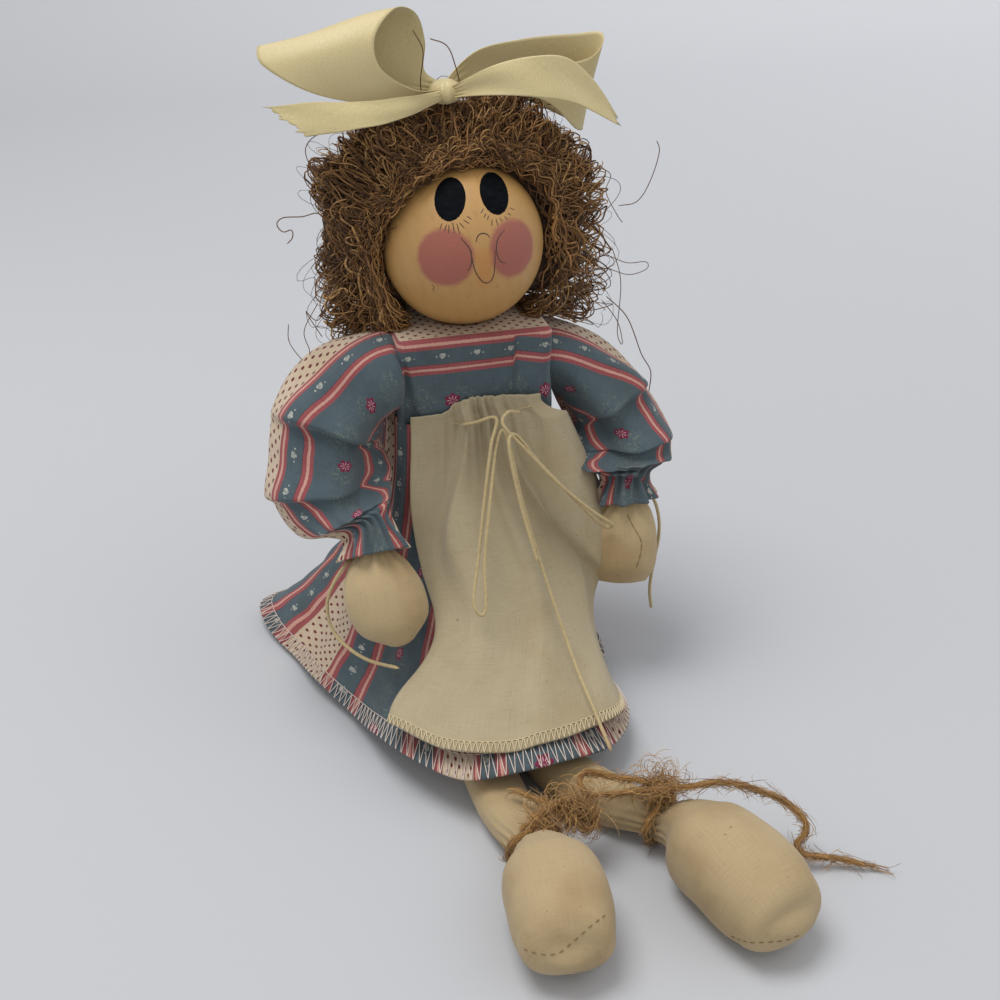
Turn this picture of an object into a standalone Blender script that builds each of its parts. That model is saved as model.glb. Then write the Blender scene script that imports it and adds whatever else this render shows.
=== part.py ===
"""Wooden shelf sitter doll in a calico dress.

A sawn wooden block is the body and a turned ball is the head, joined by a dowel pin.
Stuffed muslin arms and legs hang from the block. The dress is a T-cut bodice with
gathered sleeves over a gathered skirt, and a muslin apron is drawn up on a cotton string.
Curly vine hair covers the ball and a ribbon bow stands on it.

The doll faces -Y. Left and right are the doll's own: its left side is +X.
The origin is the middle of the block's base, on the surface that the doll stands on.
"""
import math

import bmesh
import bpy
import numpy as np
from mathutils import Matrix

MM = 0.001

# Clearances
GAP = 0.3 * MM              # between two pieces that touch
DOWEL_CLEARANCE = 0.3 * MM  # round the dowel in its holes
FLOOR_GAP = 0.3 * MM        # under the soft pieces that lie on the floor

# Wood
BLOCK_WIDTH = 50.0 * MM
BLOCK_DEPTH = 38.0 * MM
BLOCK_HEIGHT = 135.0 * MM
BLOCK_EDGE = 1.2 * MM       # sanded edge
BALL_DIAMETER = 57.0 * MM
BALL_FLAT = 14.0 * MM       # flat that the ball stands on
DOWEL_DIAMETER = 9.5 * MM
DOWEL_LENGTH = 32.0 * MM
DOWEL_CHAMFER = 0.8 * MM
HOLE_SPARE = 0.6 * MM       # depth of each hole past the dowel's end

# Dress
CLOTH = 1.1 * MM            # wall of the bodice and sleeves
BODICE_EASE = 1.6 * MM      # air between the block and the bodice
BODICE_CORNER = 3.0 * MM
BODICE_LENGTH = 29.0 * MM   # from the block's top down to the waist
BODICE_ROUND = 2.2 * MM     # rounding of the shoulder edge
SKIRT_CLOTH = 1.0 * MM
SKIRT_EASE = 1.6 * MM       # air between the block and the skirt at the waist
SKIRT_FOLD = 4.2 * MM       # how far a fold stands out at the hem
SKIRT_GATHER = 1.0 * MM     # how far a gather stands out at the waist
SKIRT_FOLDS = 11
SKIRT_GATHERS = 30
SKIRT_SPREAD = 68.0         # degrees of the falling curve, more lies flatter at the hem
APRON_CLOTH = 1.0 * MM
APRON_HEAD = 6.0 * MM       # the drawn-up heading that stands above the waist
APRON_PLEAT = 2.6 * MM
APRON_CURL = 6.0 * MM       # how far the loose lower corner curls up

# Stuffed muslin
ARM_THICKNESS = 12.6 * MM
WRIST_THICKNESS = 12.0 * MM
RIGHT_HAND_WIDTH = 29.0 * MM
LEFT_HAND_WIDTH = 25.0 * MM
HAND_DEPTH = 19.0 * MM
LEG_THICKNESS = 18.5 * MM
LEG_HEIGHT = 14.8 * MM
ANKLE_WIDTH = 13.6 * MM
ANKLE_HEIGHT = 12.4 * MM
ANKLE_LIFT = 3.4 * MM       # room for the tie under the ankle
FOOT_WIDTH = 31.5 * MM
FOOT_HEIGHT = 30.0 * MM

# Strings
STRING = 1.3 * MM
JUTE = 2.2 * MM
TIE_SLACK = 0.8 * MM        # between a tie and what it is wound round

# Hair and bow
HAIR_CROWN = 50.0 * MM      # from the ball's centre to the top of the hair
HAIR_SIDE = 52.5 * MM
HAIR_BACK = 43.0 * MM
HAIR_FRINGE = 38.0 * MM     # reach of the hair at the edge round the face
HAIR_PAD = 0.9 * MM         # glue and loose ends between the ball and the hair
HAIR_LOCK = 2.2 * MM        # depth of the grooves between locks
LEFT_BUNCH = 4.5 * MM       # how much the left bunch stands out
RIGHT_BUNCH = 2.0 * MM      # how much the right bunch lies closer
HAIR_UNDER = 5.0 * MM       # how much closer the hair lies underneath
BOW_HOLLOW = 4.5 * MM       # how deep the bow sits in the crown
OPENING_TILT = 35.0         # degrees that the face opening looks down
RIBBON = 0.8 * MM           # thickness of the ribbon
BOW_KNOT = 11.0 * MM
BOW_ASIDE = 4.0 * MM        # the knot's place to the right of the middle
BOW_BEHIND = 3.0 * MM       # and behind it

# Places that follow from the sizes
BALL_RADIUS = BALL_DIAMETER / 2
FLAT_DROP = math.sqrt(BALL_RADIUS ** 2 - (BALL_FLAT / 2) ** 2)
HEAD = np.array([0.0, 0.0, BLOCK_HEIGHT + GAP + FLAT_DROP])
DOWEL_BASE = BLOCK_HEIGHT - DOWEL_LENGTH / 2
WAIST = BLOCK_HEIGHT - BODICE_LENGTH
BODICE_TOP = BLOCK_HEIGHT + GAP + CLOTH
BODICE_HALF = np.array([BLOCK_WIDTH, BLOCK_DEPTH]) / 2 + BODICE_EASE + CLOTH
SKIRT_HALF = np.array([BLOCK_WIDTH, BLOCK_DEPTH]) / 2 + SKIRT_EASE + SKIRT_CLOTH
APRON_LIFT = SKIRT_FOLD + 2 * GAP
BOW_PLACE = HEAD + np.array([-BOW_ASIDE, BOW_BEHIND,
                             HAIR_CROWN - BOW_HOLLOW + HAIR_LOCK / 2 + BOW_KNOT * 0.36 + GAP])


def clear_scene():
    for thing in list(bpy.data.objects):
        bpy.data.objects.remove(thing, do_unlink=True)


def principled(name, colour, roughness, metallic=0.0):
    """A plain material with the part's own colour."""
    material = bpy.data.materials.new(name)
    material.use_nodes = True
    shader = material.node_tree.nodes["Principled BSDF"]
    shader.inputs["Base Color"].default_value = (*colour, 1.0)
    shader.inputs["Roughness"].default_value = roughness
    shader.inputs["Metallic"].default_value = metallic
    return material


def through(rows, count):
    """Rows read at even steps from a smooth curve through the given rows (Catmull-Rom)."""
    rows = np.asarray(rows, float)
    ends = np.vstack([2 * rows[0] - rows[1], rows, 2 * rows[-1] - rows[-2]])
    place = np.linspace(0, len(rows) - 1, count)
    i = np.minimum(place.astype(int), len(rows) - 2)
    t = (place - i)[:, None]
    a, b, c, d = ends[i], ends[i + 1], ends[i + 2], ends[i + 3]
    return 0.5 * (2 * b + (c - a) * t + (2 * a - 5 * b + 4 * c - d) * t ** 2
                  + (3 * b - a - 3 * c + d) * t ** 3)


def round_through(rows, count):
    """The same on a closed ring of rows."""
    rows = np.asarray(rows, float)
    n = len(rows)
    place = np.arange(count) * n / count
    i = place.astype(int)
    t = (place - i)[:, None]
    a, b, c, d = (rows[(i + k) % n] for k in (-1, 0, 1, 2))
    return 0.5 * (2 * b + (c - a) * t + (2 * a - 5 * b + 4 * c - d) * t ** 2
                  + (3 * b - a - 3 * c + d) * t ** 3)


def evenly(points, count):
    """Points at even distances along a polyline."""
    step = np.linalg.norm(np.diff(points, axis=0), axis=1)
    length = np.concatenate([[0.0], np.cumsum(step)])
    at = np.linspace(0, length[-1], count)
    return np.stack([np.interp(at, length, points[:, k]) for k in range(3)], axis=1)


def unit(vectors):
    return vectors / np.linalg.norm(vectors, axis=-1, keepdims=True)


def smooth_step(low, high, x):
    t = np.clip((x - low) / (high - low), 0.0, 1.0)
    return t * t * (3 - 2 * t)


def add_solid(name, points, faces, material=None):
    """A closed mesh from its points and faces, with the faces turned outwards."""
    mesh = bpy.data.meshes.new(name)
    mesh.from_pydata([tuple(p) for p in points], [], faces)
    work = bmesh.new()
    work.from_mesh(mesh)
    bmesh.ops.recalc_face_normals(work, faces=work.faces)
    work.to_mesh(mesh)
    work.free()
    mesh.shade_smooth()
    if material:
        mesh.materials.append(material)
    solid = bpy.data.objects.new(name, mesh)
    bpy.context.scene.collection.objects.link(solid)
    return solid


def ring_faces(first, rings, around):
    """Quads between rings of points that close round, numbered from first."""
    faces = []
    for r in range(rings - 1):
        for k in range(around):
            a = first + r * around + k
            b = first + r * around + (k + 1) % around
            faces.append((a, b, b + around, a + around))
    return faces


def fan(first, around, tip):
    return [(first + k, first + (k + 1) % around, tip) for k in range(around)]


def loft(name, rings, material=None):
    """A solid through closed rings, with a fan on each end."""
    rings = np.asarray(rings)
    count, around = rings.shape[:2]
    points = np.vstack([rings.reshape(-1, 3), rings[0].mean(axis=0), rings[-1].mean(axis=0)])
    faces = ring_faces(0, count, around)
    faces += fan(0, around, count * around)
    faces += fan((count - 1) * around, around, count * around + 1)
    return add_solid(name, points, faces, material)


def double_wall(name, outer, inner, material=None):
    """A wall between two sets of closed rings, open at both ends."""
    count, around = outer.shape[:2]
    rings = np.vstack([outer, inner[::-1], outer[:1]])
    faces = ring_faces(0, 2 * count + 1, around)
    total = 2 * count * around
    faces = [tuple(p % total for p in face) for face in faces]
    return add_solid(name, rings[:-1].reshape(-1, 3), faces, material)


def lathe(name, profile, steps, material=None):
    """A turned solid: a profile of (radius, height) pairs whose two ends are on the axis."""
    turn = 2 * math.pi * np.arange(steps) / steps
    rings = [np.stack([r * np.cos(turn), r * np.sin(turn), np.full(steps, z)], axis=1)
             for r, z in profile[1:-1]]
    points = np.vstack([*rings, [[0, 0, profile[0][1]]], [[0, 0, profile[-1][1]]]])
    last = len(rings) * steps
    faces = ring_faces(0, len(rings), steps)
    faces += fan(0, steps, last) + fan(last - steps, steps, last + 1)
    return add_solid(name, points, faces, material)


def sheet(name, front, back, material=None):
    """A cloth solid between two grids of points, closed round its four edges."""
    rows, columns = front.shape[:2]
    points = np.vstack([front.reshape(-1, 3), back.reshape(-1, 3)])
    under = rows * columns
    faces = []
    for r in range(rows - 1):
        for c in range(columns - 1):
            a = r * columns + c
            quad = (a, a + 1, a + columns + 1, a + columns)
            faces.append(quad)
            faces.append(tuple(p + under for p in reversed(quad)))
    edge = [c for c in range(columns)]
    edge += [r * columns + columns - 1 for r in range(1, rows)]
    edge += [(rows - 1) * columns + c for c in range(columns - 2, -1, -1)]
    edge += [r * columns for r in range(rows - 2, 0, -1)]
    for a, b in zip(edge, edge[1:] + edge[:1]):
        faces.append((a, b, b + under, a + under))
    return add_solid(name, points, faces, material)


def normals(grid, closed=False):
    """The unit normal at each point of a grid (rows down, columns along)."""
    down = np.gradient(grid, axis=0)
    if closed:
        along = np.roll(grid, -1, axis=1) - np.roll(grid, 1, axis=1)
    else:
        along = np.gradient(grid, axis=1)
    return unit(np.cross(along, down))


def combine(body, tool, operation, use_self=False):
    """Applies one exact boolean and removes the tool. use_self mends a tool that meets itself."""
    change = body.modifiers.new(operation.lower(), "BOOLEAN")
    change.operation = operation
    change.solver = "EXACT"
    change.use_self = use_self
    change.object = tool
    view = bpy.context.evaluated_depsgraph_get()
    result = bpy.data.meshes.new_from_object(body.evaluated_get(view))
    body.modifiers.clear()
    body.data = result
    bpy.data.objects.remove(tool, do_unlink=True)


def turns_round(middle, ahead, half, thickness, start, turns, side=1):
    """Route points (mm) of a tie wound round a stuffed piece, with its turns side by side.

    The turns lie in the plane across ahead; start is in degrees, from level towards the top."""
    level = unit(np.cross(ahead, [0.0, 0.0, 1.0])) * side
    top = unit(np.cross(level, ahead)) * side
    reach = np.asarray(half) + thickness / 2 + TIE_SLACK
    points = []
    for share in np.linspace(0, 1, math.ceil(8 * turns) + 1):
        angle = math.radians(start) + 2 * math.pi * turns * share
        along = (turns * share - turns / 2) * (thickness + 2 * GAP)
        place = middle + level * reach[0] * math.cos(angle) + top * reach[1] * math.sin(angle)
        points.append(tuple((place + ahead * along) / MM))
    return points


def cord(name, route, count, thickness, material):
    """A cord as a round curve: points read from a smooth curve through its route."""
    points = evenly(through(np.asarray(route) * MM, 40 * len(route)), count)
    curve = bpy.data.curves.new(name, "CURVE")
    curve.dimensions = "3D"
    curve.bevel_depth = thickness / 2
    curve.bevel_resolution = 2
    curve.render_resolution_u = 0
    curve.use_fill_caps = True
    spline = curve.splines.new("POLY")
    spline.points.add(count - 1)
    for point, place in zip(spline.points, points):
        point.co = (*place, 1.0)
    curve.materials.append(material)
    made = bpy.data.objects.new(name, curve)
    bpy.context.scene.collection.objects.link(made)


def make_block(material):
    """The sawn block, with the dowel's hole in its top."""
    mesh = bpy.data.meshes.new("body_block")
    work = bmesh.new()
    bmesh.ops.create_cube(work, size=1.0)
    bmesh.ops.scale(work, verts=work.verts, vec=(BLOCK_WIDTH, BLOCK_DEPTH, BLOCK_HEIGHT))
    bmesh.ops.translate(work, verts=work.verts, vec=(0, 0, BLOCK_HEIGHT / 2))
    work.to_mesh(mesh)
    work.free()
    mesh.materials.append(material)
    block = bpy.data.objects.new("body_block", mesh)
    bpy.context.scene.collection.objects.link(block)
    edge = block.modifiers.new("sanded edge", "BEVEL")
    edge.width = BLOCK_EDGE
    edge.segments = 2
    view = bpy.context.evaluated_depsgraph_get()
    block.data = bpy.data.meshes.new_from_object(block.evaluated_get(view))
    block.modifiers.clear()
    radius = DOWEL_DIAMETER / 2 + DOWEL_CLEARANCE
    floor = DOWEL_BASE - HOLE_SPARE
    above = BLOCK_HEIGHT + DOWEL_DIAMETER
    drill = lathe("drill", [(0, floor), (radius, floor), (radius, above), (0, above)], 24)
    combine(block, drill, "DIFFERENCE")


def make_dowel(material):
    """The pin between the block and the ball."""
    radius = DOWEL_DIAMETER / 2
    top = DOWEL_BASE + DOWEL_LENGTH
    lathe("neck_dowel", [(0, DOWEL_BASE), (radius - DOWEL_CHAMFER, DOWEL_BASE),
                         (radius, DOWEL_BASE + DOWEL_CHAMFER), (radius, top - DOWEL_CHAMFER),
                         (radius - DOWEL_CHAMFER, top), (0, top)], 24, material)


def make_ball(material):
    """The turned ball, with its flat and its drilled hole underneath."""
    radius = DOWEL_DIAMETER / 2 + DOWEL_CLEARANCE
    roof = DOWEL_BASE + DOWEL_LENGTH + HOLE_SPARE
    flat = HEAD[2] - FLAT_DROP
    profile = [(0, roof), (radius, roof), (radius, flat)]
    low = math.asin(-FLAT_DROP / BALL_RADIUS)
    for angle in np.linspace(low, math.pi / 2, 15):
        profile.append((BALL_RADIUS * math.cos(angle), HEAD[2] + BALL_RADIUS * math.sin(angle)))
    profile[-1] = (0, HEAD[2] + BALL_RADIUS)
    lathe("head_ball", profile, 26, material)


# Sleeves. Each row: out from the block's side, forward, down from the block's top (mm), lean of
# the ring (0 faces sideways, 90 faces down), half height, half depth, and its tip forwards.
RIGHT_SLEEVE = [(-5, 0, 13, 0, 11.0, 15, 0), (7, 1, 14.5, 10, 12, 17, 0), (18.5, 4, 20.5, 38, 17, 18.5, 0),
                (26.5, 9, 31, 62, 20.5, 19, 0), (28.5, 15, 42, 80, 21.5, 18.5, 0),
                (28.5, 21.5, 51.5, 96, 20, 17, 8), (25, 30.5, 58, 110, 15.5, 14, 25),
                (19.2, 38.2, 59.5, 104, 8.8, 8.6, 45), (18.1, 43, 67, 94, 12.5, 11.5, 35)]
LEFT_SLEEVE = [(-5, 0, 13, 0, 11.0, 15, 0), (8, 1, 16, 15, 11, 17, 0), (19, 3, 24.5, 38, 13.5, 18.5, 0),
               (27.5, 7, 34, 58, 15, 19, 0), (31.5, 13, 42, 74, 16, 18.5, 0), (32.5, 19, 48.5, 86, 16, 16, 5),
               (30.6, 25.5, 53, 90, 13, 12.5, 15), (28.4, 29.6, 57, 90, 8.6, 8.4, 24),
               (27.8, 32.2, 64.5, 90, 12, 11, 16)]
SLEEVE_FOLDS = ((3, 0.055, 0.4), (5, 0.05, 2.1), (7, 0.035, 4.0))   # waves round, share, twist
CUFF_WAVES = 9
CUFF_WAVE = 1.1 * MM


def sleeve_rings(table, side, wall, reach, around=16, rings=17):
    """Rings of a sleeve: a puffed tube whose planes turn like a fan from shoulder to cuff.

    The wall is taken off each ring's half sizes, and reach lengthens both ends."""
    rows = through(np.array(table, float), rings)
    turn = 2 * math.pi * np.arange(around) / around
    share = np.linspace(0, 1, rings)
    puff = smooth_step(0.12, 0.4, share) * (1 - smooth_step(0.72, 0.86, share))
    made = []
    for row, s, p in zip(rows, share, puff):
        out, forward, drop, lean, half_height, half_depth, nod = row
        lean = math.radians(lean)
        front = np.array([0, -math.cos(math.radians(nod)), math.sin(math.radians(nod))])
        centre = np.array([side * (BLOCK_WIDTH / 2 + out * MM), -forward * MM, BLOCK_HEIGHT - drop * MM])
        up = np.array([side * math.sin(lean), 0, math.cos(lean)])
        wave = sum(a * np.cos(n * turn + k + 5 * s) for n, a, k in SLEEVE_FOLDS)
        ruffle = CUFF_WAVE * smooth_step(0.9, 1.0, s) * np.cos(CUFF_WAVES * turn)
        tall = half_height * MM * (1 + p * wave) - wall + ruffle
        deep = half_depth * MM * (1 + p * wave) - wall + ruffle
        ring = centre + np.outer(tall * np.cos(turn), up) + np.outer(deep * np.sin(turn), front)
        made.append(ring)
    if reach:
        made.insert(0, made[0] + np.array([-side * reach, 0, 0]))
        made.append(made[-1] + np.array([0, 0, -reach]))
    return np.array(made)


def box_outline(half, rounding, corner_steps=3, side_steps=5):
    """An upright box's outline, with round corners, as (x, y) rows."""
    points = []
    for quarter in range(4):
        angles = np.radians(90 * quarter + np.linspace(0, 90, corner_steps))
        sign = (1, 1), (-1, 1), (-1, -1), (1, -1)
        middle = (half - rounding) * sign[quarter]
        arc = middle + rounding * np.stack([np.cos(angles), np.sin(angles)], axis=1)
        following = (half - rounding) * sign[(quarter + 1) % 4]
        after = math.radians(90 * (quarter + 1))
        goal = following + rounding * np.array([math.cos(after), math.sin(after)])
        side = arc[-1] + (goal - arc[-1]) * np.linspace(0, 1, side_steps + 1)[1:-1, None]
        points += [arc, side]
    return np.vstack(points)


def box_rings(half, corner, low, high, rounding):
    """Rings of an upright box with round corners and a rounded upper edge."""
    rings = []
    for z, inset in ((low, 0), (high - rounding, 0), (high - 0.3 * rounding, 0.3 * rounding),
                     (high, rounding)):
        outline = box_outline(half - inset, max(corner - inset, 0.2 * corner))
        rings.append(np.column_stack([outline, np.full(len(outline), z)]))
    return rings


def make_bodice(material):
    """The T-cut bodice and both sleeves, sewn from one length of cloth."""
    bodice = loft("dress_bodice", box_rings(BODICE_HALF, BODICE_CORNER, WAIST, BODICE_TOP, BODICE_ROUND),
                  material)
    for table, side in ((RIGHT_SLEEVE, -1), (LEFT_SLEEVE, 1)):
        combine(bodice, loft("sleeve", sleeve_rings(table, side, 0.0, 0.0)), "UNION")
    inside = BODICE_HALF - CLOTH
    below = WAIST - 10 * CLOTH
    room = loft("room", box_rings(inside, BODICE_CORNER - CLOTH, below, BLOCK_HEIGHT + GAP, GAP))
    combine(bodice, room, "DIFFERENCE")
    for table, side in ((RIGHT_SLEEVE, -1), (LEFT_SLEEVE, 1)):
        combine(bodice, loft("arm room", sleeve_rings(table, side, CLOTH, 2 * CLOTH)), "DIFFERENCE")
    rise = HEAD[2] - BODICE_TOP
    neck = math.sqrt(BALL_RADIUS ** 2 - rise ** 2) + 2 * GAP
    low, high = BLOCK_HEIGHT - CLOTH, BODICE_TOP + CLOTH
    hole = lathe("neck hole", [(0, low), (neck, low), (neck, high), (0, high)], 24)
    combine(bodice, hole, "DIFFERENCE")


# The hem's outline on the floor, each point (x, y, height) in mm, from the back round the right
# side to the front, where it lies over the legs, and back along the left side.
HEM = [(-12, 44, 1.5), (-48, 46, 1.5), (-74, 36, 1.5), (-77, 16, 2), (-69, -10, 3.5), (-58, -42, 5.5),
       (-48.5, -70, 9), (-38, -94, 14), (-25, -109.5, 18), (-5, -113.5, 19), (18, -108, 18.5),
       (31.5, -96, 13), (38, -77, 7.5), (42, -46, 4), (45, -12, 2), (44, 22, 1.5), (22, 42, 1.5)]
SKIRT_AROUND = 70
SKIRT_ROWS = 7
WAIST_SQUARENESS = 12


def skirt_base(down, around):
    """The skirt without folds. down runs from 0 at the waist to 1 at the hem, and less than 0
    climbs the bodice; around holds shares of a turn that starts at the back."""
    fine = 720
    hem = round_through(np.array(HEM, float), fine) * MM
    angle = np.unwrap(np.arctan2(hem[:, 1], hem[:, 0]))
    place = np.linspace(angle[0], angle[0] + 2 * math.pi, fine, endpoint=False)
    hem = np.stack([np.interp(place, np.append(angle, angle[0] + 2 * math.pi),
                              np.append(hem[:, k], hem[0, k])) for k in range(3)], axis=1)
    square = WAIST_SQUARENESS
    reach = (np.abs(np.cos(place) / SKIRT_HALF[0]) ** square
             + np.abs(np.sin(place) / SKIRT_HALF[1]) ** square) ** (-1 / square)
    waist = np.stack([reach * np.cos(place), reach * np.sin(place),
                      np.full(fine, WAIST - GAP)], axis=1)
    pick = np.asarray(around) * fine
    low = [np.interp(pick, np.arange(fine + 1), np.append(hem[:, k], hem[0, k])) for k in range(3)]
    top = [np.interp(pick, np.arange(fine + 1), np.append(waist[:, k], waist[0, k])) for k in range(3)]
    low, top = np.stack(low, axis=-1), np.stack(top, axis=-1)
    swing = np.radians(SKIRT_SPREAD) * np.clip(down, 0, None)[:, None, None]
    limit = math.radians(SKIRT_SPREAD)
    out = (1 - np.cos(swing)) / (1 - math.cos(limit))
    fall = np.sin(swing) / math.sin(limit)
    flat = np.array([1.0, 1.0, 0.0])
    grid = top * flat + (low - top) * flat * out
    grid = grid + (top + (low - top) * fall) * (1 - flat)
    climb = np.clip(-down, 0, None)[:, None, None] * BODICE_LENGTH
    return grid + climb * np.array([0, 0, 1.0])


def make_skirt(material):
    """The gathered skirt: small gathers at the waist run into broad folds at the hem."""
    around = np.arange(SKIRT_AROUND) / SKIRT_AROUND
    down = np.linspace(0, 1, SKIRT_ROWS)
    base = skirt_base(down, around)
    out = -normals(base, closed=True)
    turn = 2 * math.pi * around[None, :]
    d = down[:, None]
    broad = 0.5 + 0.5 * np.cos(SKIRT_FOLDS * turn + 1.3 * np.sin(2 * turn) + 0.6 * d)
    small = 0.5 + 0.5 * np.cos(SKIRT_GATHERS * turn)
    lift = SKIRT_FOLD * smooth_step(0.1, 0.75, d) * broad
    lift = lift + SKIRT_GATHER * (1 - smooth_step(0.1, 0.5, d)) * small
    outer = base + out * lift[..., None]
    inner = outer - out * SKIRT_CLOTH
    double_wall("dress_skirt", outer, inner, material)


# The apron's side edges, from its waist to its hem: share of a turn round the skirt, and how
# far the edge stands off (mm).
APRON_RIGHT_EDGE = [(0.322, 0.5), (0.322, 1), (0.333, 0.5), (0.352, 0.5), (0.378, 1)]
APRON_LEFT_EDGE = [(0.606, 9), (0.606, 11), (0.582, 10), (0.55, 4), (0.522, 0)]
APRON_END = 0.955           # how far down the skirt the apron reaches
APRON_PLEATS = (0.33, 0.5, 0.62, 0.74)


def make_apron(material):
    """The apron: a flat panel drawn into pleats at the waist, its lower corner curled."""
    columns, rows = 25, 12
    head = -APRON_HEAD / BODICE_LENGTH
    down = np.concatenate([[head, head / 2], np.linspace(0, APRON_END, rows - 2)])
    across = np.linspace(0, 1, columns)
    grid = np.zeros((rows, columns, 3))
    out = np.zeros((rows, columns, 3))
    edges = [through(table, 41) for table in (APRON_RIGHT_EDGE, APRON_LEFT_EDGE)]
    first, last = [np.stack([np.interp(down / APRON_END, np.linspace(0, 1, 41), edge[:, k])
                             for k in range(2)], axis=1) for edge in edges]
    for r, d in enumerate(down):
        at = first[r, 0] + (last[r, 0] - first[r, 0]) * across
        near = np.array([d - 0.02, d, d + 0.02]) if d > 0 else np.array([0.0, 0.02, 0.04])
        grid[r] = skirt_base(np.array([d]), at)[0]
        out[r] = normals(skirt_base(near, at))[1]
    out = out * np.sign(-out[..., 1:2])
    d = down[:, None]
    s = across[None, :]
    fade = 1 - smooth_step(0.15, 0.8, d)
    pleats = sum(np.exp(-((s - p - 0.05 * d) / 0.035) ** 2) for p in APRON_PLEATS)
    lift = APRON_LIFT + APRON_PLEAT * fade * pleats
    lift = lift - (APRON_LIFT - SKIRT_GATHER - 2 * GAP) * (1 - smooth_step(0.0, 0.35, d))
    lift = lift + MM * (first[:, 1:] * (1 - smooth_step(0, 0.3, s)) + last[:, 1:] * smooth_step(0.6, 1, s))
    lift = lift + APRON_CURL * (1 - smooth_step(0, 0.22, s)) * smooth_step(0.55, 0.95, d)
    back = grid + out * lift[..., None]
    front = grid + out * (lift + APRON_CLOTH)[..., None]
    sheet("apron", front, back, material)


# Arms. Each row: out from the block's side, forward, down from where the arm starts (mm), then
# its width and depth as shares of the arm's (A), the wrist's (W) or the hand's (H).
RIGHT_ARM = [(0, 0, 0, "A", 1, 1), (8, 0, 0, "A", 1, 1), (18, 5, 11, "A", 1, 1),
             (23, 14, 24, "A", 1, 1), (24.5, 25, 35.3, "A", 1, 1), (19, 38, 43.5, "W", 1, 1),
             (18, 42.2, 49, "W", 1, 1), (17.3, 46, 55.4, "H", 0.5, 0.72),
             (16, 51.5, 62.6, "H", 1, 1), (13.6, 57, 71.4, "H", 0.88, 0.9), (12.2, 60.5, 77.4, "H", 0.3, 0.36)]
LEFT_ARM = [(0, 0, 0, "A", 1, 1), (8, 0, 0, "A", 1, 1), (19, 4, 11, "A", 1, 1),
            (27, 13, 22, "A", 1, 1), (30.8, 22.4, 32.5, "A", 1, 1), (28.2, 29.6, 41, "W", 1, 1),
            (27.7, 31.8, 47, "W", 1, 1), (27.1, 34, 53.8, "H", 0.55, 0.72),
            (26, 37.5, 62.5, "H", 1, 1), (25, 40.5, 71.5, "H", 0.98, 0.94), (24.3, 42.5, 77.5, "H", 0.72, 0.4)]
ARM_DROP = 16.0 * MM
ARM_ROUND = 12
WRIST_SHARE = 1.0           # place of the tie between the wrist's first row and the next

# Legs. Each row: x and y of the middle (mm), then width and height as shares of the leg's (L),
# the ankle's (A) or the foot's (F).
RIGHT_LEG = [(-12, 19.3, "L", 1), (-12, 45, "L", 1), (-15.5, 80, "L", 1), (-15, 108, "L", 1),
             (-12.5, 123, "L", 0.97), (-11.2, 134.5, "A", 1), (-11, 139.5, "A", 1), (-11.2, 146.5, "F", 0.64),
             (-11.6, 154, "F", 0.95), (-12.4, 166, "F", 1), (-13.6, 176, "F", 0.95),
             (-14.6, 183.5, "F", 0.7), (-15, 187, "F", 0.32)]
LEFT_LEG = [(12, 19.3, "L", 1), (12, 45, "L", 1), (7, 78, "L", 1), (7.5, 97, "L", 1),
            (19, 118, "L", 0.98), (31.4, 133, "A", 1), (34.2, 137.4, "A", 1), (37.8, 145.6, "F", 0.64),
            (40, 154, "F", 0.97), (44, 167, "F", 1.06), (47.6, 179, "F", 1.0), (50.6, 188.5, "F", 0.76),
            (51.8, 192.5, "F", 0.38)]
ANKLE_SHARE = 0.15          # place of the tie between the ankle's first row and the next
LEG_ROUND = 12
FOOT_SOLE = 0.9             # how flat the foot lies, 1 is round right down to the floor


def sweep(name, rows, around, material, sideways):
    """A stuffed piece: rings square to a path; each row is centre, half width, half height."""
    start = unit(rows[1, :3] - rows[0, :3])
    rows = through(rows, 2 * len(rows) - 1)
    path = rows[:, :3]
    ahead = unit(np.gradient(path, axis=0))
    ahead[0] = start
    across = unit(sideways - (ahead @ sideways)[:, None] * ahead)
    over = np.cross(ahead, across)
    turn = 2 * math.pi * np.arange(around) / around
    wide = rows[:, 3, None, None] * np.cos(turn)[None, :, None] * across[:, None, :]
    tall = rows[:, 4, None, None] * np.sin(turn)[None, :, None] * over[:, None, :]
    return loft(name, path[:, None, :] + wide + tall, material)


def arm_rows(table, side, hand_width):
    """An arm's rows as centre, half width and half depth."""
    half = {"A": (ARM_THICKNESS / 2, ARM_THICKNESS / 2), "W": (WRIST_THICKNESS / 2, WRIST_THICKNESS / 2),
            "H": (hand_width / 2, HAND_DEPTH / 2)}
    rows = []
    for out, forward, down, kind, wide, deep in table:
        rows.append((side * (BLOCK_WIDTH / 2 + GAP + out * MM), -forward * MM,
                     BLOCK_HEIGHT - ARM_DROP - down * MM, half[kind][0] * wide, half[kind][1] * deep))
    return np.array(rows)


def make_arm(name, table, side, hand_width, material):
    """A stuffed arm from the block's side, tied at the wrist, with the hand below the cuff."""
    sweep(name, arm_rows(table, side, hand_width), ARM_ROUND, material, np.array([1.0, 0.0, 0.35 * side]))


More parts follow.
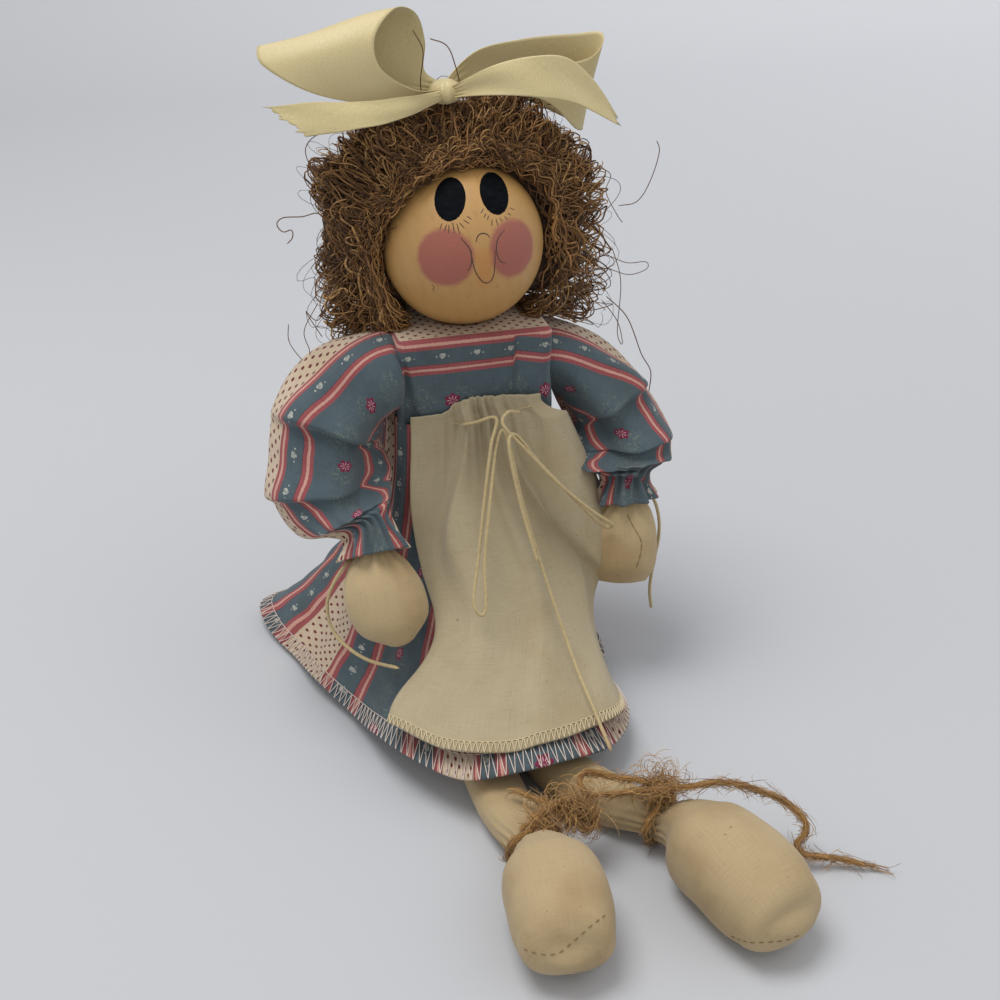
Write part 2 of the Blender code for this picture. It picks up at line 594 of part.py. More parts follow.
def leg_rows(table):
    """A leg's rows as centre, half width and half height, lying on the floor."""
    half = {"L": (LEG_THICKNESS / 2, LEG_HEIGHT / 2), "A": (ANKLE_WIDTH / 2, ANKLE_HEIGHT / 2),
            "F": (FOOT_WIDTH / 2, FOOT_HEIGHT / 2)}
    rows = []
    for x, forward, kind, share in table:
        wide, tall = half[kind][0] * share, half[kind][1] * share
        middle = {"L": tall, "A": tall + ANKLE_LIFT, "F": max(tall, FOOT_SOLE * half["F"][1])}[kind]
        rows.append((x * MM, -forward * MM, middle + FLOOR_GAP, wide, tall))
    rows[0] = (rows[0][0], -(BLOCK_DEPTH / 2 + GAP), *rows[0][2:])
    return np.array(rows)


def make_leg(name, table, material):
    """A stuffed leg and foot lying on the floor, tied at the ankle, with a blunt toe."""
    sweep(name, leg_rows(table), LEG_ROUND, material, np.array([1.0, 0.0, 0.0]))


# The edge of the hair round the face: angle round the opening's axis and angle from that axis.
HAIR_EDGE = [(90, 97), (135, 87), (180, 72), (207, 52), (232, 84), (270, 113), (308, 84), (333, 50),
             (360, 68), (405, 87)]
SHOULDER_SLOPE = 0.3        # how fast the shoulders fall away under the hair
HAIR_AROUND = 36
HAIR_ROWS = 10
HAIR_INNER_ROWS = 6


def hair_reach(way):
    """How far the hair reaches from the ball's centre in each direction."""
    x, y, z = way[..., 0], way[..., 1], way[..., 2]
    reach = HAIR_BACK + (HAIR_CROWN - HAIR_BACK) * smooth_step(0.2, 0.9, z)
    reach = reach + (HAIR_SIDE - HAIR_BACK) * smooth_step(0.35, 0.95, np.abs(x))
    left_bunch = smooth_step(0.8, 0.98, x * 0.79 - y * 0.08 - z * 0.6)
    right_bunch = smooth_step(0.8, 0.98, -x * 0.86 - y * 0.1 - z * 0.5)
    reach = reach + left_bunch * LEFT_BUNCH - right_bunch * RIGHT_BUNCH
    reach = reach - HAIR_UNDER * smooth_step(-0.45, -0.75, z)
    to_knot = unit(BOW_PLACE - HEAD)
    reach = reach - BOW_HOLLOW * smooth_step(0.93, 0.985, way @ to_knot)
    past_side = np.clip(np.abs(x) * reach - BODICE_HALF[0], 0, None)
    rest = BODICE_TOP + HAIR_LOCK + 2 * GAP - SHOULDER_SLOPE * past_side
    return np.where(z < -0.1, np.minimum(reach, (HEAD[2] - rest) / np.clip(-z, 0.1, None)), reach)


def make_hair(material):
    """The glued-on mass of curly vine: a cup round the ball, open at the face."""
    tilt = math.radians(OPENING_TILT)
    axis = np.array([0, -math.cos(tilt), -math.sin(tilt)])
    up = np.array([0, -math.sin(tilt), math.cos(tilt)])
    side = np.array([1.0, 0, 0])
    edge = round_through(np.array(HAIR_EDGE, float)[:, 1:], HAIR_AROUND)[:, 0]
    turns = np.array([row[0] for row in HAIR_EDGE], float)
    turn = np.interp(np.arange(HAIR_AROUND) * len(HAIR_EDGE) / HAIR_AROUND,
                     np.arange(len(HAIR_EDGE) + 1), np.append(turns, 450.0))
    turn = np.radians(turn)
    radial = np.outer(np.cos(turn), side) + np.outer(np.sin(turn), up)

    def rings(rows):
        share = np.linspace(0, 1, rows + 1)[:-1, None]
        angle = np.radians(edge[None, :] + (180 - edge[None, :]) * share)
        return np.cos(angle)[..., None] * axis + np.sin(angle)[..., None] * radial[None]

    way = rings(HAIR_ROWS)
    down = np.linspace(0, 1, HAIR_ROWS)[:, None]
    locks = np.cos(9 * turn[None, :] + 3.5 * np.sin(3 * down)) + 0.7 * np.sin(5 * turn[None, :] + 9 * down)
    full = smooth_step(-0.15, 0.22, down)
    reach = hair_reach(way) * full + np.minimum(HAIR_FRINGE, hair_reach(way)) * (1 - full)
    outer = HEAD + way * (reach + HAIR_LOCK * 0.5 * locks)[..., None]
    inner = HEAD + rings(HAIR_INNER_ROWS) * (BALL_RADIUS + HAIR_PAD)
    back = -axis
    tip_out = HEAD + back * hair_reach(back[None, :])[0]
    tip_in = HEAD + back * (BALL_RADIUS + HAIR_PAD)
    outer_count = HAIR_ROWS * HAIR_AROUND
    inner_count = HAIR_INNER_ROWS * HAIR_AROUND
    points = np.vstack([outer.reshape(-1, 3), inner.reshape(-1, 3), tip_out, tip_in])
    faces = ring_faces(0, HAIR_ROWS, HAIR_AROUND) + ring_faces(outer_count, HAIR_INNER_ROWS, HAIR_AROUND)
    faces += fan(outer_count - HAIR_AROUND, HAIR_AROUND, outer_count + inner_count)
    faces += fan(outer_count + inner_count - HAIR_AROUND, HAIR_AROUND, outer_count + inner_count + 1)
    for k in range(HAIR_AROUND):
        n = (k + 1) % HAIR_AROUND
        faces.append((k, n, outer_count + n, outer_count + k))
    add_solid("hair_wig", points, faces, material)


# The ribbon's two long edges, point by point from the bow's knot (mm).
RIGHT_LOOP = ([(1, 1.5, 1.5), (-14, 9, 3), (-20, 10, 14), (-16, 6, 23), (-17, -3, 26), (-17, -11, 20),
               (-15, -11, 10), (-9, -7, 2), (1, -1.5, 1.5)],
              [(1, 1.5, -1.5), (-24, 7, 0), (-48, 5, 9), (-58, 3, 14.5), (-60, 0, 17.5), (-59, -5, 12.5),
               (-44, -9, 4), (-22, -8, -1), (1, -1.5, -1.5)])
LEFT_LOOP = ([(-1, 1.5, 1.5), (12, 7, 11), (28, 7, 14), (46, 5, 15), (54, 1.5, 15.5), (49, -3, 9),
              (34, -5, 7), (14, -5, 5), (-1, -1.5, 1.5)],
             [(-1, 1.5, -1.5), (14, 8, -2), (30, 9, -7), (43, 7, -13), (49, 2, -16), (44, -5, -14),
              (31, -9, -3), (14, -7, 0), (-1, -1.5, -1.5)])
RIGHT_TAIL = ([(0, -2, 1), (-16, -12, 2), (-36, -15, 2.5), (-60, -18, 3.5)],
              [(0, -2, -1.5), (-16, -15, -3.5), (-34, -21, -5), (-50, -24, -5)])
LEFT_TAIL = ([(0, -2, 1), (12, -13, 10), (26, -15, 13), (40, -17, 10.5), (55, -18, -8)],
             [(0, -2, -1.5), (13, -17, 2), (27, -20, 1), (40, -21, -2), (53, -20, -9.5)])


def ribbon_strip(edges, knot, rows, columns):
    """A strip of ribbon between its two long edges."""
    one = through(np.array(edges[0]) * MM, rows)
    two = through(np.array(edges[1]) * MM, rows)
    share = np.linspace(0, 1, columns)[None, :, None]
    grid = knot + one[:, None] + (two - one)[:, None] * share
    out = normals(grid) * RIBBON / 2
    return sheet("strip", grid + out, grid - out)


def make_bow(material):
    """The ribbon bow on the crown: one ribbon, two loops, two cut tails and the knot."""
    knot = BOW_PLACE
    turn = np.linspace(-math.pi / 2, math.pi / 2, 9)
    profile = [(BOW_KNOT / 2 * math.cos(a), BOW_KNOT * 0.36 * math.sin(a)) for a in turn]
    profile[0] = (0, profile[0][1])
    profile[-1] = (0, profile[-1][1])
    bow = lathe("hair_bow", profile, 16, material)
    bow.data.transform(Matrix.Translation(knot))
    for edges, rows in ((RIGHT_LOOP, 21), (LEFT_LOOP, 21), (RIGHT_TAIL, 8), (LEFT_TAIL, 9)):
        combine(bow, ribbon_strip(edges, knot, rows, 3), "UNION", use_self=True)


# Cord routes, points in mm. The wrist strings and the ankle ties start with turns round the limb.
APRON_STRING_RIGHT = [(-7.5, -26.8, 105.8), (-3.5, -30.5, 108), (3.5, -34, 110.5), (0, -40, 103),
                      (-4, -47, 88), (-9, -57, 70), (-13, -66, 58), (-11, -69, 54), (-7.5, -67, 56),
                      (-4, -58, 70), (0, -48, 88), (3, -40, 101), (5.5, -36.5, 107), (7, -40, 101),
                      (9, -49, 84), (13, -60, 64), (17, -72, 46), (19, -84, 36), (20, -97, 31),
                      (21, -107, 26.5), (22, -113, 22.5)]
APRON_STRING_LEFT = [(13.1, -29.8, 109.7), (10.5, -33, 111.6), (7, -35.5, 113), (4.5, -39.5, 110.5),
                     (12, -42, 101), (22, -45, 89), (33, -47, 78), (41, -47, 71), (44, -45, 67.5),
                     (42, -43, 66), (37, -44, 71), (27, -43.5, 83), (17, -41, 95), (9, -39.5, 106),
                     (5.5, -43.5, 104), (7.5, -51, 86), (11, -61.5, 67)]
RIGHT_WRIST_TAIL = [(-53.5, -45, 66.5), (-58, -46.5, 61), (-60.8, -47, 53.5), (-60.5, -49.5, 45.5),
                    (-57, -54.5, 40.5), (-50, -61, 37), (-40, -67.5, 36)]
LEFT_WRIST_TAIL = [(63.5, -33.5, 69.5), (66.5, -33, 61), (67.5, -32, 51), (66, -32.5, 41),
                   (64.4, -34, 30), (65.6, -34, 20)]
# From the turns up to the knot, out into a loop and back, and out into the loose end.
LEFT_ANKLE_TAIL = [(34, -135.4, 22), (28, -131, 23.5), (18, -125.5, 23.5), (11, -122.5, 24.5),
                   (7, -124.5, 24), (9, -129.5, 21.5), (19, -132, 22), (29, -136.5, 25),
                   (39, -140, 27), (49, -139.5, 26), (58.5, -141, 23), (68.8, -144.5, 18.5),
                   (74.6, -150.2, 14), (74.7, -152.8, 10.5), (71, -155, 8), (73, -157.5, 5.5),
                   (81.3, -159.5, 4), (91.2, -163.7, 2.5)]
RIGHT_ANKLE_TAIL = [(-9.5, -135, 21.8), (-3, -132.5, 23.5), (4.5, -133, 23), (8.5, -137, 17.5),
                    (4.5, -139.5, 16.5), (1, -136, 20), (-3.5, -129.5, 19.8), (-8, -124.5, 19.5)]


def tied_round(rows, table, kind, share, thickness, start, turns, side, tail):
    """A tie's route: turns round a limb just after its first row of that kind, then its loose part."""
    at = [kind in row for row in table].index(True)
    ahead = rows[at + 1] - rows[at]
    place = rows[at] + share * ahead
    return turns_round(place[:3], unit(ahead[:3]), place[3:], thickness, start, turns, side) + tail


def make_cords(cotton, jute):
    """The cotton strings and the jute ties, each a single length."""
    wrist, ankle = ("W", WRIST_SHARE, STRING, 240, 1.25), ("A", ANKLE_SHARE, JUTE, 60, 1.05)
    arms = arm_rows(RIGHT_ARM, -1, RIGHT_HAND_WIDTH), arm_rows(LEFT_ARM, 1, LEFT_HAND_WIDTH)
    right_wrist = tied_round(arms[0], RIGHT_ARM, *wrist, 1, RIGHT_WRIST_TAIL)
    left_wrist = tied_round(arms[1], LEFT_ARM, *wrist, -1, LEFT_WRIST_TAIL)
    right_ankle = tied_round(leg_rows(RIGHT_LEG), RIGHT_LEG, *ankle, 1, RIGHT_ANKLE_TAIL)
    left_ankle = tied_round(leg_rows(LEFT_LEG), LEFT_LEG, *ankle, 1, LEFT_ANKLE_TAIL)
    cord("apron_string_right", APRON_STRING_RIGHT, 36, STRING, cotton)
    cord("apron_string_left", APRON_STRING_LEFT, 30, STRING, cotton)
    cord("right_wrist_string", right_wrist, 25, STRING, cotton)
    cord("left_wrist_string", left_wrist, 24, STRING, cotton)
    cord("right_ankle_tie", right_ankle, 32, JUTE, jute)
    cord("left_ankle_tie", left_ankle, 42, JUTE, jute)


def main():
    clear_scene()
    wood = principled("birch wood", (0.58, 0.35, 0.13), 0.45)
    calico = principled("blue calico", (0.08, 0.13, 0.17), 0.85)
    muslin = principled("muslin", (0.62, 0.52, 0.36), 0.9)
    vine = principled("curly vine", (0.16, 0.08, 0.03), 0.8)
    satin = principled("ivory satin", (0.75, 0.66, 0.36), 0.35)
    cotton = principled("cotton string", (0.75, 0.66, 0.42), 0.8)
    jute = principled("jute", (0.31, 0.16, 0.04), 0.85)
    make_block(wood)
    make_dowel(wood)
    make_ball(wood)
    make_bodice(calico)
    make_skirt(calico)
    make_apron(muslin)
    make_arm("right_arm", RIGHT_ARM, -1, RIGHT_HAND_WIDTH, muslin)
    make_arm("left_arm", LEFT_ARM, 1, LEFT_HAND_WIDTH, muslin)
    make_leg("right_leg", RIGHT_LEG, muslin)
    make_leg("left_leg", LEFT_LEG, muslin)
    make_hair(vine)
    make_bow(satin)
    make_cords(cotton, jute)


main()
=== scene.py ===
# %% [markdown]
# # A shelf sitter doll
# The real doll is folk craft: a wooden ball for a head, a block of sawn wood for a body, and
# stuffed muslin arms and legs under a calico dress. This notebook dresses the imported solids.
# It starts with the solids themselves, because every soft piece takes its place from them.
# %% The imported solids
import math
import bmesh
import bpy
import numpy as np
from mathutils import Matrix, Vector
from mathutils.bvhtree import BVHTree


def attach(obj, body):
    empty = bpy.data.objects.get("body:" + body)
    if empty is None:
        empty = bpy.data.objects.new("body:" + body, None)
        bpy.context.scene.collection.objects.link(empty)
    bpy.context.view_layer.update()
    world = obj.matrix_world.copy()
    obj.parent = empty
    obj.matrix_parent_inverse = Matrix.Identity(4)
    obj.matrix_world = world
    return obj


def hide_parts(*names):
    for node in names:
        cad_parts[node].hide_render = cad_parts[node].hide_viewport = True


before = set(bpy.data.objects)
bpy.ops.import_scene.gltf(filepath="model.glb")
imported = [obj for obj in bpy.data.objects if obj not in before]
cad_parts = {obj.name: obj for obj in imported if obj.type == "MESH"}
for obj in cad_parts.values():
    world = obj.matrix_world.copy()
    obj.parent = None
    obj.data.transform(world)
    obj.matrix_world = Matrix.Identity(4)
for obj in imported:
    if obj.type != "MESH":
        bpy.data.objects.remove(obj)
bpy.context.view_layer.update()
MM = 0.001
print("nodes:", len(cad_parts))

# %% [markdown]
# The camera comes first, since the painted face is placed by looking through it. The photograph
# was taken from a little above and from the doll's right, with a normal lens, so the camera is
# placed by two turns and one distance. `sight` gives the line of sight through a picture point.
# %% Camera
AZIMUTH = math.radians(-15)
ELEVATION = math.radians(30)
CAMERA_AT = np.array([-0.1064, -0.4492, 0.3259])
LENS = 50.0
SENSOR = 36.0
RIGHT = np.array([math.cos(AZIMUTH), math.sin(AZIMUTH), 0.0])
BACK = np.array([math.sin(AZIMUTH) * math.cos(ELEVATION), -math.cos(AZIMUTH) * math.cos(ELEVATION),
                 math.sin(ELEVATION)])
UP = np.cross(BACK, RIGHT)
camera = bpy.data.objects.new("camera", bpy.data.cameras.new("camera"))
camera.data.lens = LENS
camera.data.sensor_width = SENSOR
camera.data.clip_end = 10.0
LENS_TURN = np.column_stack([RIGHT, UP, BACK, CAMERA_AT])
camera.matrix_world = Matrix(np.vstack([LENS_TURN, [0, 0, 0, 1]]).tolist())
bpy.context.scene.collection.objects.link(camera)
bpy.context.scene.camera = camera


def sight(points):
    """Unit directions from the camera through picture points, in pixels of a 1000 pixel square."""
    points = np.atleast_2d(np.asarray(points, float))
    scale = SENSOR / LENS / 1000
    way = (points[:, :1] - 500) * scale * RIGHT + (500 - points[:, 1:2]) * scale * UP - BACK
    return way / np.linalg.norm(way, axis=1, keepdims=True)


# %% [markdown]
# Most shapes here are grids: rows run one way over a surface and columns the other. One builder
# turns any grid of points into a mesh, with a map that gives each corner its place on the cloth
# in millimetres, so that a print or a weave follows the cloth however it is folded.
# %% Small helpers for points
def unit(vectors):
    return vectors / np.maximum(np.linalg.norm(vectors, axis=-1, keepdims=True), 1e-12)


def smooth_step(low, high, x):
    """0 at low, 1 at high and an even S between them. low may be the larger one."""
    t = np.clip((x - low) / (high - low), 0.0, 1.0)
    return t * t * (3 - 2 * t)


def catmull_rom(a, b, c, d, t):
    """The point at share t of the way from b to c, with a and d as the neighbours outside them."""
    return 0.5 * (2 * b + (c - a) * t + (2 * a - 5 * b + 4 * c - d) * t ** 2
                  + (3 * b - a - 3 * c + d) * t ** 3)


def through(rows, count):
    """A smooth curve through rows: each point blends its four neighbours."""
    rows = np.asarray(rows, float)
    ends = np.vstack([2 * rows[0] - rows[1], rows, 2 * rows[-1] - rows[-2]])
    place = np.linspace(0, len(rows) - 1, count)
    i = np.minimum(place.astype(int), len(rows) - 2)
    return catmull_rom(ends[i], ends[i + 1], ends[i + 2], ends[i + 3], (place - i)[:, None])


def round_through(rows, count):
    """The same curve on a closed ring of rows."""
    rows = np.asarray(rows, float)
    place = np.arange(count) * len(rows) / count
    i = place.astype(int)
    a, b, c, d = (rows[(i + k) % len(rows)] for k in (-1, 0, 1, 2))
    return catmull_rom(a, b, c, d, (place - i)[:, None])


def run_length(points):
    """Distance from the first point of a line to each of its points."""
    return np.concatenate([[0.0], np.cumsum(np.linalg.norm(np.diff(points, axis=0), axis=1))])


def evenly(points, count):
    """Points at even distances along a line."""
    run = run_length(points)
    at = np.linspace(0, run[-1], count)
    return np.stack([np.interp(at, run, points[:, k]) for k in range(points.shape[1])], axis=1)


def full_turn(count):
    """The angles of count even steps round a circle, as one row."""
    return (math.tau * np.arange(count) / count)[None, :]


def waves(x, y, count, low, high, seed):
    """Soft unevenness, about -1 to 1: a sum of sine waves with random directions, sizes and starts."""
    random = np.random.default_rng(seed)
    total = 0.0
    for _ in range(count):
        size, turn, start = random.uniform(low, high), random.uniform(0, math.pi), random.uniform(0, 6.3)
        total = total + np.sin(size * (math.cos(turn) * x + math.sin(turn) * y) + start)
    return total / math.sqrt(count)


# %% Grid to mesh
made = {}


def add_piece(name, mesh, materials, wall=0.0):
    """Puts a mesh in the scene with its materials. Cloth gets a wall grown inwards, which wears
    the second material if there are two. Every piece rides on the doll's one body."""
    mesh.shade_smooth()
    for material in materials:
        mesh.materials.append(material)
    piece = bpy.data.objects.new(name, mesh)
    bpy.context.scene.collection.objects.link(piece)
    if wall:
        cloth_wall = piece.modifiers.new("cloth wall", "SOLIDIFY")
        cloth_wall.thickness = wall
        cloth_wall.offset = -1.0
        cloth_wall.use_even_offset = False
        if len(materials) > 1:
            cloth_wall.material_offset = 1
    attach(piece, "root")
    made[name] = piece
    return piece


def surface(name, grid, cloth, materials, closed=False, wall=0.0, inside=None, poles=False):
    """A mesh over a grid of points. cloth holds each grid point's place on the cloth in mm; a grid
    that closes round has one more column there. wall turns the surface into cloth of that
    thickness, inwards. inside is a point that the surface faces away from."""
    rows, columns = grid.shape[:2]
    r, c = np.meshgrid(np.arange(rows - 1), np.arange(columns if closed else columns - 1), indexing="ij")
    corner_r = np.stack([r, r, r + 1, r + 1], -1).reshape(-1, 4)
    corner_c = np.stack([c, c + 1, c + 1, c], -1).reshape(-1, 4)
    points = grid.reshape(-1, 3)
    if inside is not None:
        quads = points[corner_r * columns + corner_c % columns]
        face = np.cross(quads[:, 1] - quads[:, 0], quads[:, 2] - quads[:, 1])
        if np.sum(face * (quads.mean(axis=1) - np.asarray(inside))) < 0:
            corner_r, corner_c = corner_r[:, ::-1], corner_c[:, ::-1]
    mesh = bpy.data.meshes.new(name)
    mesh.from_pydata(points.tolist(), [], (corner_r * columns + corner_c % columns).tolist())
    layer = mesh.uv_layers.new(name="cloth")
    layer.data.foreach_set("uv", cloth[corner_r, corner_c].astype(np.float32).ravel())
    if poles:
        work = bmesh.new()
        work.from_mesh(mesh)
        bmesh.ops.remove_doubles(work, verts=work.verts, dist=1e-6)
        work.to_mesh(mesh)
        work.free()
    return add_piece(name, mesh, materials if isinstance(materials, list) else [materials], wall)


def plain_cloth(rows, columns, wide, long):
    """A flat cloth map: columns across wide mm, rows down long mm."""
    u, v = np.meshgrid(np.linspace(0, wide, columns), np.linspace(0, long, rows))
    return np.stack([u, v], axis=-1)


def grid_normals(grid, closed=False):
    """The unit normal at each grid point, from the steps to its neighbours."""
    down = np.gradient(grid, axis=0)
    along = np.roll(grid, -1, 1) - np.roll(grid, 1, 1) if closed else np.gradient(grid, axis=1)
    return unit(np.cross(along, down))


def read_grid(grid, r, c):
    """Values between grid points, at fractional rows and columns."""
    r, c = np.asarray(r, float), np.asarray(c, float)
    i = np.clip(r.astype(int), 0, grid.shape[0] - 2)
    j = np.clip(c.astype(int), 0, grid.shape[1] - 2)
    s, t = (r - i)[:, None], (c - j)[:, None]
    return ((1 - s) * (1 - t) * grid[i, j] + s * (1 - t) * grid[i + 1, j]
            + (1 - s) * t * grid[i, j + 1] + s * t * grid[i + 1, j + 1])


# %% [markdown]
# A thread, a string or a stem is a tube: a ring carried along a path. Many thin tubes are made at
# once, because the hair alone has thousands of stems.
# %% Tubes
def tubes(name, paths, radii, sides, material, tone=None):
    """Many tubes in one mesh. paths is (tubes, points, 3) and radii (tubes, points) in metres.
    Each ring is the path's point plus radius times cos and sin of the turn in the plane square to
    the path. The ends are drawn to a point. tone is one number for each tube, kept for the colour."""
    count, points = paths.shape[:2]
    ahead = unit(np.gradient(paths, axis=1))
    guide = unit(np.cross(ahead.mean(axis=1) + 1e-6, np.array([0.31, 0.57, 0.76])))[:, None]
    across = unit(guide - (guide * ahead).sum(-1, keepdims=True) * ahead)
    over = np.cross(ahead, across)
    turn = full_turn(sides)[0, :, None]
    ends = np.ones(points)
    ends[[0, -1]] = 0.02
    ring = np.cos(turn) * across[:, :, None] + np.sin(turn) * over[:, :, None]
    rings = paths[:, :, None] + (radii * ends)[..., None, None] * ring
    t, r, c = np.meshgrid(np.arange(count), np.arange(points - 1), np.arange(sides), indexing="ij")
    first = (t * points + r) * sides
    after = (c + 1) % sides
    quads = np.stack([first + c, first + after, first + sides + after, first + sides + c], -1)
    mesh = bpy.data.meshes.new(name)
    mesh.from_pydata(rings.reshape(-1, 3).tolist(), [], quads.reshape(-1, 4).tolist())
    if tone is not None:
        shade = mesh.attributes.new("tone", "FLOAT", "POINT")
        shade.data.foreach_set("value", np.repeat(tone, points * sides).astype(np.float32))
    return add_piece(name, mesh, [material])


# %% [markdown]
# Materials are node trees. The helper below adds nodes by name and links whatever socket it is
# given, which keeps each material to a few readable lines.
# %% Node helper
def linear(red, green, blue):
    """A colour written as 0 to 255 screen values, as the shader wants it."""
    values = np.array([red, green, blue]) / 255
    return (*np.where(values <= 0.04045, values / 12.92, ((values + 0.055) / 1.055) ** 2.4), 1.0)


class Graph:
    """Adds nodes to one node tree. A value that is a socket is linked, any other is set."""

    def __init__(self, tree, shader=None):
        self.tree = tree
        self.shader = shader

    def put(self, socket, value):
        if isinstance(value, bpy.types.NodeSocket):
            self.tree.links.new(value, socket)
        else:
            socket.default_value = value

    def node(self, kind, values=None, **settings):
        node = self.tree.nodes.new("ShaderNode" + kind)
        for key, value in settings.items():
            setattr(node, key, value)
        for key, value in (values or {}).items():
            self.put(node.inputs[key], value)
        return node

    def space(self):
        return self.node("TexCoord").outputs["Object"]

    def tone(self):
        return self.node("Attribute", attribute_name="tone").outputs["Fac"]

    def math(self, operation, a, b=0.0, c=0.0):
        return self.node("Math", {0: a, 1: b, 2: c}, operation=operation).outputs[0]

    def plus(self, a, b):
        return self.math("ADD", a, b)

    def minus(self, a, b):
        return self.math("SUBTRACT", a, b)

    def times(self, a, b):
        return self.math("MULTIPLY", a, b)

    def hypot(self, x, y):
        return self.math("SQRT", self.plus(self.times(x, x), self.times(y, y)))

    def distance(self, a, b):
        return self.node("VectorMath", {0: a, 1: tuple(b)}, operation="DISTANCE").outputs["Value"]

    def mix(self, share, one, two, blend="MIX"):
        return self.node("Mix", {0: share, 6: one, 7: two}, data_type="RGBA", blend_type=blend).outputs[2]

    def noise(self, place, scale, detail=2.0, rough=0.5):
        return self.node("TexNoise", {"Vector": place, "Scale": scale, "Detail": detail,
                                      "Roughness": rough}).outputs[0]

    def spread(self, value, low, high, to_low=0.0, to_high=1.0):
        return self.node("MapRange", {0: value, 1: low, 2: high, 3: to_low, 4: to_high},
                         interpolation_type="SMOOTHSTEP").outputs[0]

    def scaled(self, place, x, y, z=1.0):
        return self.node("Mapping", {"Vector": place, "Scale": (x, y, z)}).outputs[0]

    def group(self, tree, values):
        node = self.node("Group")
        node.node_tree = tree
        for key, value in values.items():
            self.put(node.inputs[key], value)
        return node.outputs

    def colour(self, value):
        self.put(self.shader.inputs["Base Color"], value)

    def bump(self, height, strength, distance):
        """Relief on the shader's normal: distance is the height in metres that white stands for."""
        relief = self.node("Bump", {"Height": height, "Strength": strength, "Distance": distance})
        self.put(self.shader.inputs["Normal"], relief.outputs[0])


def effect(name, inputs, outputs):
    """A new shader node group with named inputs and outputs, and a helper to fill it."""
    tree = bpy.data.node_groups.new(name, "ShaderNodeTree")
    for label, kind, value in inputs:
        socket = tree.interface.new_socket(label, in_out="INPUT", socket_type="NodeSocket" + kind)
        if value is not None:
            socket.default_value = value
    for label, kind in outputs:
        tree.interface.new_socket(label, in_out="OUTPUT", socket_type="NodeSocket" + kind)
    ends = tree.nodes.new("NodeGroupInput").outputs, tree.nodes.new("NodeGroupOutput").inputs
    return tree, Graph(tree), *ends


def finish(name, roughness, **constants):
    """A new material and its helper, with the constant values set on the Principled shader."""
    material = bpy.data.materials.new(name)
    material.use_nodes = True
    shader = material.node_tree.nodes["Principled BSDF"]
    shader.inputs["Roughness"].default_value = roughness
    for key, value in constants.items():
        shader.inputs[key.replace("_", " ")].default_value = value
    return material, Graph(material.node_tree, shader)


def mottled(name, roughness, scale, detail, one, two, **constants):
    """A material whose colour wanders between two colours, in patches of about 1/scale metres."""
    material, g = finish(name, roughness, **constants)
    g.colour(g.mix(g.noise(g.space(), scale, detail), linear(*one), linear(*two)))
    return material


# %% [markdown]
# ## Weave
# All the cloths are plain weaves, where each thread goes over one and under the next. Threads
# are never quite even, and muslin shows slubs, the thick places in a thread. The group gives a
# height for the bump and a tone for the colour: painted shade between the threads, a painted highlight on
# their tops, and the slubs.
# %% Weave group
weave, g, at, out = effect("weave", [("Cloth", "Vector", None), ("Thread", "Float", 0.45),
                                     ("Slub", "Float", 0.5)], [("Height", "Float"), ("Tone", "Float")])
split = g.node("SeparateXYZ", {0: at["Cloth"]}).outputs
wobble = g.times(g.noise(at["Cloth"], 0.35, 3), 1.2)
pair = []
for axis in (0, 1):
    line = g.times(g.math("DIVIDE", g.plus(split[axis], wobble), at["Thread"]), math.tau)
    pair.append(g.math("SINE", line))
crossing = g.times(pair[0], pair[1])
long_one = g.noise(g.scaled(at["Cloth"], 0.12, 2.6), 1.0, 2)
long_two = g.noise(g.scaled(at["Cloth"], 2.6, 0.12), 1.0, 2)
slub = g.times(g.minus(g.plus(long_one, long_two), 1.0), at["Slub"])
g.put(out["Height"], g.math("MULTIPLY_ADD", crossing, 0.35, g.times(slub, 2.2)))
# The tone is high where the weave's height is high, so it carries painted highlight on the threads and
# painted shade between them, besides the slubs.
g.put(out["Tone"], g.math("MULTIPLY_ADD", crossing, 0.12, g.math("MULTIPLY_ADD", slub, 1.6, 0.5)))

# %% [markdown]
# ## The calico print
# The print repeats across the cloth every 71 mm and is the same on both sides of its middle: a
# cream band with dots, a rose stripe, a narrow blue band with hearts, another rose stripe, and a
# wide blue band with sprigs and flowers. The folded distance from the dotted band's middle picks
# the band, and each motif is a formula on its own repeating square.
# %% Calico bands
REPEAT = 71.0
DOTS_END, HEART_ROW, WIDE_BAND = 9.3, 17.0, 24.0
calico_print, g, at, out = effect("calico print", [("Cloth", "Vector", None)], [("Colour", "Color")])
split = g.node("SeparateXYZ", {0: at["Cloth"]}).outputs
shake = g.math("MULTIPLY_ADD", g.noise(at["Cloth"], 1.4, 2), 0.5, -0.25)
across = g.plus(g.math("PINGPONG", split[0], REPEAT / 2), shake)
down = split[1]
rose, pale, none = linear(152, 80, 82), linear(200, 152, 138), (0, 0, 0, 1)
blue = g.mix(g.noise(at["Cloth"], 0.25, 4), linear(70, 85, 93), linear(88, 101, 106))
bands = g.node("ValToRGB", {0: g.math("DIVIDE", across, REPEAT / 2)})
bands.color_ramp.interpolation = "CONSTANT"
for place, colour in ((10, rose), (11.5, pale), (12.5, rose), (14, none),
                      (20, rose), (21.5, pale), (22.5, rose), (24, none)):
    bands.color_ramp.elements.new(place / (REPEAT / 2)).color = colour
bands.color_ramp.elements[0].color = linear(200, 180, 156)
bands.color_ramp.elements.remove(bands.color_ramp.elements[-1])
in_blue = g.plus(g.math("COMPARE", across, HEART_ROW, 3.0), g.math("GREATER_THAN", across, WIDE_BAND))
colour = g.mix(in_blue, bands.outputs[0], blue)

# %% Calico motifs
# Dots stand on a lattice turned by 45 degrees.
one = g.math("PINGPONG", g.plus(split[0], down), 2.26)
two = g.math("PINGPONG", g.minus(split[0], down), 2.26)
dots = g.math("LESS_THAN", g.plus(g.hypot(one, two), shake), 0.98)
dots = g.times(dots, g.math("LESS_THAN", across, DOTS_END))
colour = g.mix(dots, colour, linear(106, 44, 46))
